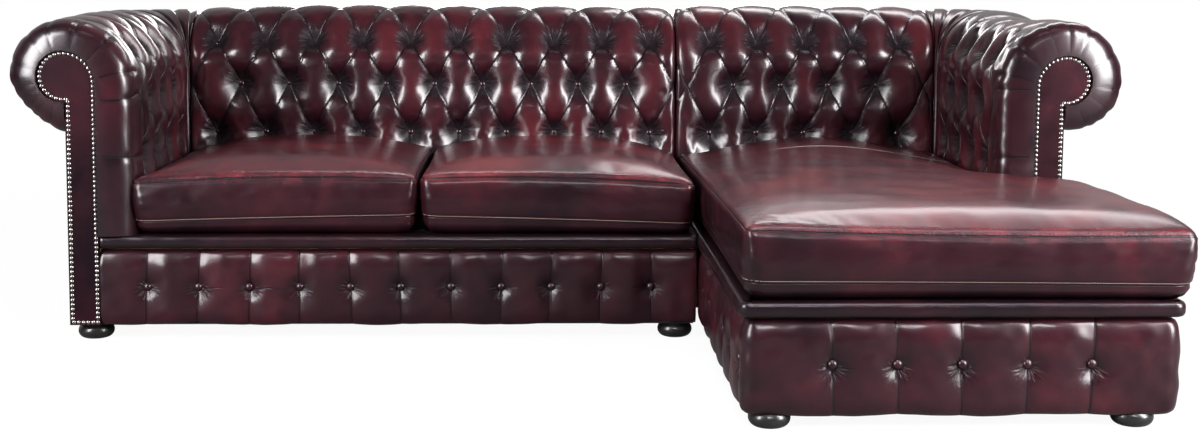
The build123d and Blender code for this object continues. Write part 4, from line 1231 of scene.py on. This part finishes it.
def seam_marks(x, y, row, inside, t_border, t_under, crossed):
    """Stitch count along the seams and distances from the upper and the lower seam."""
    height = SEAM_HIGH - SEAM_LOW
    above_high = np.where(row == 0, inside, -height * t_border - t_under)
    above_low = np.where(row == 0, 1.0, height * (1 - t_border) - 0.05 * t_under)
    sewn = np.stack([(x + y + 9.0) / STITCH_LENGTH, above_high, above_low], axis=1)
    if crossed:
        top = (row == 0) & (np.abs(y - CROSS_SEAM) < 0.1) & (inside > 0.01)
        sewn[top, 2] = 0.70 * (y[top] - CROSS_SEAM) + STITCH_AT
        sewn[top, 1] = 1.0
        sewn[top & (x < CROSS_FROM), 0] = 0.0
    return sewn


def cushion(name, left_of, right_of, slow_right, front, rear, form, fx, fy, seed):
    """A box cushion; left_of(y) and right_of(y) give its sides, and form its seams and crown.

    The crown follows slow_right(y), so that no step crosses a top that widens suddenly.
    """
    obj, i, j, row = cushion_shell(name, len(fx), len(fy))
    tx, ty = fx[i], fy[j]
    y0 = front + ty * (rear - front)
    left_side, right_side, slow = left_of(y0), right_of(y0), slow_right(y0)
    x0 = left_side + tx * (right_side - left_side)
    ex, ey = np.minimum(x0 - left_side, right_side - x0), np.minimum(y0 - front, rear - y0)
    inside = np.maximum(np.minimum(ex, ey), 0)
    t_border = np.clip(row / BORDER_ROWS, 0, 1)
    t_under = np.clip((row - BORDER_ROWS) / UNDER_ROWS, 0, 1)
    # plan: sides pulled in between rounded corners
    y = y0 + FRONT_PULL * np.sin(math.pi * tx) * (1 - ty) ** 6
    x = x0 + SIDE_PULL * np.sin(math.pi * ty) * ((1 - tx) ** 8 - tx ** 8)
    radius = CORNER_R + CORNER_BORDER * t_border + CORNER_UNDER * t_under
    x, y = rounded(x, y, left_side, right_side, front, rear, radius)
    # top panel, with small puckers at its seam
    sx = np.clip((x - left_side) / (slow - left_side), 0, 1)
    rise = least(x0 - left_side, form["steep"] * (slow - x0), y0 - front, 0.09 + 1.5 * (rear - y0))
    z, swell = top_height(form, tx, ty, sx, rise, inside)
    puckers = ripple(x, y, 0.020, seed) * np.exp(-inside / 0.016) * np.clip(inside / 0.006, 0, 1)
    z = z + PUCKER_DEPTH * puckers + TOP_WAVE * ripple(x, y, 0.17, seed + 1) * swell
    if form["crossed"]:
        ridge = smooth(CROSS_SEAM - 0.003, CROSS_SEAM + 0.003, y) * smooth(0.48, 0.62, x)
        z = z + CROSS_RIDGE * ridge * (row == 0)
    # border and turn under
    move_x, move_y = border_move(x, y, tx, ty, ex, ey, t_border, t_under, seed)
    x, y = np.where(row > 0, x + move_x, x), np.where(row > 0, y + move_y, y)
    low_z = np.polyval(form["low_seam"], tx)
    side_z = z + (low_z - z) * t_border + (SEAT_Z - low_z) * np.sin(t_under * math.pi / 2)
    put(obj, np.stack([x, y, np.where(row > 0, side_z, z)], axis=1))
    # held at the seams and below, free between
    border_held = np.clip(1.3 - 6 * np.minimum(t_border, 1 - t_border), 0, 1)
    held = np.where(row == 0, np.clip(1.5 - inside / 0.012, 0, 1), border_held)
    held = np.where((row >= BORDER_ROWS) | (ty > 0.985), 1.0, held)
    sewn = seam_marks(x, y, row, inside, t_border, t_under, form["crossed"])
    # painted light and shade: the top lighter towards its middle, the border dark and darker still as it
    # turns under
    puff = np.where(row == 0, 0.55 + 0.45 * np.clip(inside / 0.05, 0, 1), 0.08 - 0.3 * t_under)
    return obj, row, inside, held, sewn, puff


print("a stitch is", STITCH_LENGTH * 1000, "mm long")

# %% [markdown]
# ## Settling a cushion
# A filled cushion presses its leather outward between the seams. Sculpting could imitate that, but a short
# cloth run with pressure finds the form by itself, with the seams held and every move capped. At last the
# two sewn rows are sunk a little, because a seam always lies below the leather beside it.

# %% Cushion finish
GRID_STEP, SEAM_SINK = 0.0085, 0.0030
CUSHION_SHARP = math.radians(70)


def settle_cushion(obj, held, pressure=1.4, slack=0.001, frames=8, most=0.003):
    """Let the cushion's leather settle under the pressure of its filling."""
    before = read(obj.data)
    only(obj)
    cloth = cloth_on(obj, held, pressure, slack)
    run_frames(frames)
    bpy.ops.object.modifier_apply(modifier=cloth.name)
    bpy.context.scene.frame_set(1)
    obj.vertex_groups.clear()
    put(obj, capped(before, read(obj.data), most))


def crease_seams(obj, row, inside):
    """Sink the two sewn rows a little below the leather beside them."""
    co, normal = read(obj.data), read(obj.data, "normal")
    sewn_row = ((row == 0) & (inside < 1e-6)) | (row == BORDER_ROWS)
    co[sewn_row] -= SEAM_SINK * normal[sewn_row]
    put(obj, co)


def finish_cushion(name, left_of, right_of, front, rear, width, form, seed, extra=(), slow_right=None):
    fx, fy = spaced(width, GRID_STEP), spaced(rear - front, GRID_STEP, extra)
    slow_right = slow_right or right_of
    obj, row, inside, held, sewn, puff = cushion(name + "_leather", left_of, right_of, slow_right, front,
                                                 rear, form, fx, fy, seed)
    settle_cushion(obj, held)
    crease_seams(obj, row, inside)
    tell(obj, "sewn", sewn)
    tell(obj, "puff", puff)
    only(obj)
    bpy.ops.object.shade_smooth_by_angle(angle=CUSHION_SHARP)
    dress(obj, name, [name + "_cover", name + "_core"], cushion_leather)


print("cushion grid step", GRID_STEP)

# %% [markdown]
# ## Cushions of the sofa
# The two seats are alike, but people have sat on them: one seam sags to the left, the other to the right.
# Each gets its own seam heights, as small polynomials across the width. The left one also laps a little
# over the arm's border.

# %% Sofa cushions
CUSHION_FRONT, CUSHION_REAR = SOFA_FRONT + 0.005, CORNER_Y - 0.0035
CUSHION_WIDTH = 0.68
SPLIT = (-CORNER_X + SOFA_END) / 2
SIDE, ARM_LAP = 0.005, 0.016


def straight_side(x):
    return lambda y: np.full_like(y, x)


def left_end(y):
    """Against the arm, and a little over its turned border in front."""
    return -CORNER_X + SIDE - ARM_LAP * smooth(0.02, -0.05, y)


# crown is the height of the middle, shoulder the steep rise above the seam, gentle how flat the rear is,
# steep how fast the right side rises, and rear_drop how far the left seam sinks to the rear
left_form = {"crown": 0.443, "gentle": 0.45, "shoulder": 0.028, "steep": 1.0, "rear_drop": 0.0,
             "crossed": False, "high_seam": (-0.0335, 0.045, 0.387), "low_seam": (0.017, 0.289)}
right_form = {**left_form, "high_seam": (-0.035, 0.020, 0.400), "low_seam": (-0.019, 0.303)}
finish_cushion("left_cushion", left_end, straight_side(SPLIT - SIDE), CUSHION_FRONT, CUSHION_REAR,
               CUSHION_WIDTH, left_form, 131)
finish_cushion("right_cushion", straight_side(SPLIT + SIDE), straight_side(SOFA_END - SIDE), CUSHION_FRONT,
               CUSHION_REAR, CUSHION_WIDTH, right_form, 141)

# %% [markdown]
# ## Cushion of the chaise
# This cushion is T-shaped: behind the arm it is narrow, and in front of the arm an ear widens it to the
# chaise's full width. Its right side therefore steps outward within a few centimetres, and rows of points
# are added there. The crown widens more slowly, because foam doesn't step.

# %% Chaise cushion
EAR_Y = SOFA_FRONT - 0.016 - 0.012
TEE_RIGHT, EAR_RIGHT = CORNER_X - SIDE - 0.004, CHAISE_RIGHT + 0.018
TEE_FRONT, TEE_WIDTH = cad_low.y + 0.012, 0.85
TEE_LEFT = CHAISE_END + 0.008
EAR_TURN = 0.030


def tee_side(y):
    return TEE_RIGHT + (EAR_RIGHT - TEE_RIGHT) * smooth(EAR_Y, EAR_Y - EAR_TURN, y)


def slow_side(y):
    return TEE_RIGHT + (EAR_RIGHT - TEE_RIGHT) * smooth(EAR_Y + 0.10, EAR_Y - 0.22, y)


near_step = EAR_Y - np.linspace(0.0, EAR_TURN, 14)
near_step = np.append(near_step, CROSS_SEAM + np.array([-0.006, -0.003, 0.0, 0.003, 0.006]))
near_step = (near_step - TEE_FRONT) / (CUSHION_REAR - TEE_FRONT)
chaise_form = {"crown": 0.437, "gentle": 1.0, "shoulder": 0.034, "steep": 3.0, "rear_drop": 0.020,
               "crossed": True, "high_seam": (0.030, -0.042, 0.404), "low_seam": (-0.006, 0.296)}
finish_cushion("chaise_cushion", straight_side(TEE_LEFT), tee_side, TEE_FRONT, CUSHION_REAR, TEE_WIDTH,
               chaise_form, 151, near_step, slow_side)

# %% [markdown]
# ## Finishes of the hard pieces
# The facings are leather on board, edged with pewter nails. The feet are turned and lacquered black.
# Timber, springs and cloth are out of sight, but they show in the lifted poses, so they get honest
# finishes too. One function makes them all from two colours, a noise and a range of roughness, and each
# solid is matched by the end of its name.

# %% Hard finishes
def plain(name, colours, scale, rough, bump_size, metal=0.0, stretched=(1, 1, 1)):
    """A two-colour finish with uneven roughness and a fine surface."""
    material, tree, shader, place = new_material(name)
    mapping = tree.add("Mapping", Scale=stretched)
    tree.link(place, mapping.inputs["Vector"])
    fac = tree.noise(mapping.outputs[0], scale, detail=4.0, roughness=0.6, distortion=0.5)
    tree.link(tree.ramp(fac, [(0.3, colours[0]), (0.7, colours[1])]), shader.inputs["Base Color"])
    tree.link(tree.plus(tree.times(fac, rough[1] - rough[0]), rough[0]), shader.inputs["Roughness"])
    shader.inputs["Metallic"].default_value = metal
    bump(tree, shader, fac, bump_size)
    return material


pewter = plain("pewter_nail", ((0.22, 0.21, 0.20), (0.36, 0.35, 0.335)), 400.0, (0.20, 0.36), 0.0001,
               metal=1.0)
lacquer = plain("black_lacquer", ((0.006, 0.006, 0.006), (0.014, 0.013, 0.013)), 60.0, (0.24, 0.36), 0.0001)
lacquer.node_tree.nodes["Principled BSDF"].inputs["Coat Weight"].default_value = 0.15
timber = plain("sawn_hardwood", ((0.38, 0.24, 0.13), (0.58, 0.41, 0.24)), 9.0, (0.55, 0.75), 0.0004,
               stretched=(1, 7, 7))
steel = plain("spring_steel", ((0.35, 0.35, 0.36), (0.55, 0.55, 0.56)), 90.0, (0.25, 0.45), 0.0001,
              metal=1.0)
deck_cloth = plain("platform_cloth", ((0.018, 0.012, 0.012), (0.035, 0.022, 0.022)), 500.0, (0.8, 0.95),
                   0.0005)
dust_cloth = plain("dust_cloth", ((0.012, 0.012, 0.012), (0.028, 0.028, 0.028)), 700.0, (0.85, 0.95), 0.0004)
zip_tape = plain("zip_tape", ((0.015, 0.010, 0.010), (0.04, 0.03, 0.03)), 900.0, (0.5, 0.7), 0.0005)
endings = {
    facing_leather: ("_arm_facing",), pewter: ("_facing_nails",), lacquer: ("_feet",),
    button_leather: ("_tuft_buttons", "_base_buttons"),
    timber: ("_seat_rails", "_glue_blocks", "_arm_frame", "_back_frame", "_roll_rails"),
    steel: ("_springs", "_spring_clips", "_foot_bolts", "_module_hooks"),
    deck_cloth: ("_seat_deck",), dust_cloth: ("_dust_cover",), zip_tape: ("_zip",)}
finished = 0
for name, obj in nodes.items():
    for material, ends in endings.items():
        if name.endswith(ends):
            obj.data.materials.clear()
            obj.data.materials.append(material)
            finished += 1
print("finished solids:", finished)

# %% [markdown]
# ## Floor and room
# The sofa stands before plain white. White light from all sides would turn dark leather milky, so the
# white is only what the camera sees: Light Path tells camera rays from the rest, and other rays meet a
# grey floor and a dim room. Polished leather still mirrors a little of the white behind the sofa. The
# floor near the sofa isn't covered fully by its white glow, which keeps a faint shadow.

# %% Floor and room
FLOOR_GREY, FLOOR_WHITE = (0.16, 0.16, 0.16), (0.95, 0.95, 0.95)
GLOW_NEAR, GLOW_FAR = 0.94, 1.0
ROOM_LIGHT, MIRRORED = 0.08, 0.35


def seen_directly(tree):
    """Light Path's sockets, and a mask of what the camera sees, also through glass."""
    paths = tree.add("LightPath").outputs
    return paths, tree.larger(paths["Is Camera Ray"], paths["Is Transmission Ray"])


bpy.ops.object.select_all(action="DESELECT")
bpy.ops.mesh.primitive_plane_add(size=60, location=(0, 0, 0))
floor = bpy.context.object
floor.name = "floor"
paper, tree, shader, place = new_material("pale_floor")
shader.inputs["Roughness"].default_value = 0.9
shader.inputs["Specular IOR Level"].default_value = 0.1
glow = tree.add("Emission", Strength=1.0)
mixer = tree.add("MixShader")
seen = seen_directly(tree)[1]
tree.link(tree.ramp(seen, [(0.0, FLOOR_GREY), (1.0, FLOOR_WHITE)]), shader.inputs["Base Color"])
cover = tree.step(tree.vector("LENGTH", place), 1.5, 4.0, GLOW_NEAR, GLOW_FAR)
tree.link(tree.times(seen, cover), mixer.inputs[0])
tree.link(shader.outputs[0], mixer.inputs[1])
tree.link(glow.outputs[0], mixer.inputs[2])
tree.link(mixer.outputs[0], tree.tree.nodes["Material Output"].inputs["Surface"])
floor.data.materials.append(paper)

world = bpy.data.worlds.new("room")
bpy.context.scene.world = world
world.use_nodes = True
tree = Nodes(world.node_tree)
background = world.node_tree.nodes["Background"]
background.inputs["Color"].default_value = (1, 1, 1, 1)
paths, seen = seen_directly(tree)
behind_sofa = tree.step(tree.split(tree.add("TexCoord").outputs["Generated"])[1], 0.05, 0.45)
white = tree.larger(seen, tree.times(paths["Is Glossy Ray"], behind_sofa, MIRRORED))
tree.link(tree.plus(tree.times(white, 1 - ROOM_LIGHT), ROOM_LIGHT), background.inputs["Strength"])
print("floor and room made, room light", ROOM_LIGHT)

# %% [markdown]
# ## Lamps
# Glossy leather shows its lamps as highlights, so each lamp is there for one of them. Tall lamps at both
# sides give the upright gleams beside the buttons. A lamp behind lights the seats, and one overhead the
# upper edges. Two weak lamps with a narrow spread, as through a grid, reach only the cushions' front edge
# and the bases. The last lamp stands behind the sofa and is for views from there.

# %% Lamps
def lamp(name, place, target, size, power, spread=180):
    """A soft rectangular lamp that looks from place to target."""
    bpy.ops.object.light_add(type="AREA", location=place)
    obj = bpy.context.object
    obj.name = name
    obj.data.shape = "RECTANGLE"
    obj.data.size, obj.data.size_y = size
    obj.data.energy = power
    obj.data.spread = math.radians(spread)
    obj.rotation_mode = "QUATERNION"
    obj.rotation_quaternion = (Vector(target) - Vector(place)).to_track_quat("-Z", "Y")


SOFA_MIDDLE = (0.0, 0.5, 0.6)
lamp("overhead_lamp", (0.3, -1.55, 3.1), (0.3, -1.55, 0.0), (3.2, 0.9), 20, spread=60)
lamp("rear_lamp", (1.5, 1.8, 2.8), (0.9, -0.5, 0.42), (2.4, 0.7), 50)
lamp("crest_lamp", (-0.35, 0.9, 2.9), (-0.35, -0.06, 0.42), (1.7, 0.25), 0.75, spread=26)
lamp("front_lamp", (0.5, -3.7, 2.7), (0.6, -0.75, 0.13), (2.4, 0.4), 4, spread=30)
lamp("left_lamp", (-2.7, -2.1, 1.6), SOFA_MIDDLE, (0.9, 2.4), 190)
lamp("right_lamp", (2.8, -2.0, 1.6), SOFA_MIDDLE, (0.9, 2.4), 245)
lamp("back_fill_lamp", (0.0, 3.8, 1.1), (0.0, 0.8, 0.5), (3.0, 1.2), 70)
bpy.context.scene.view_settings.view_transform = "Standard"
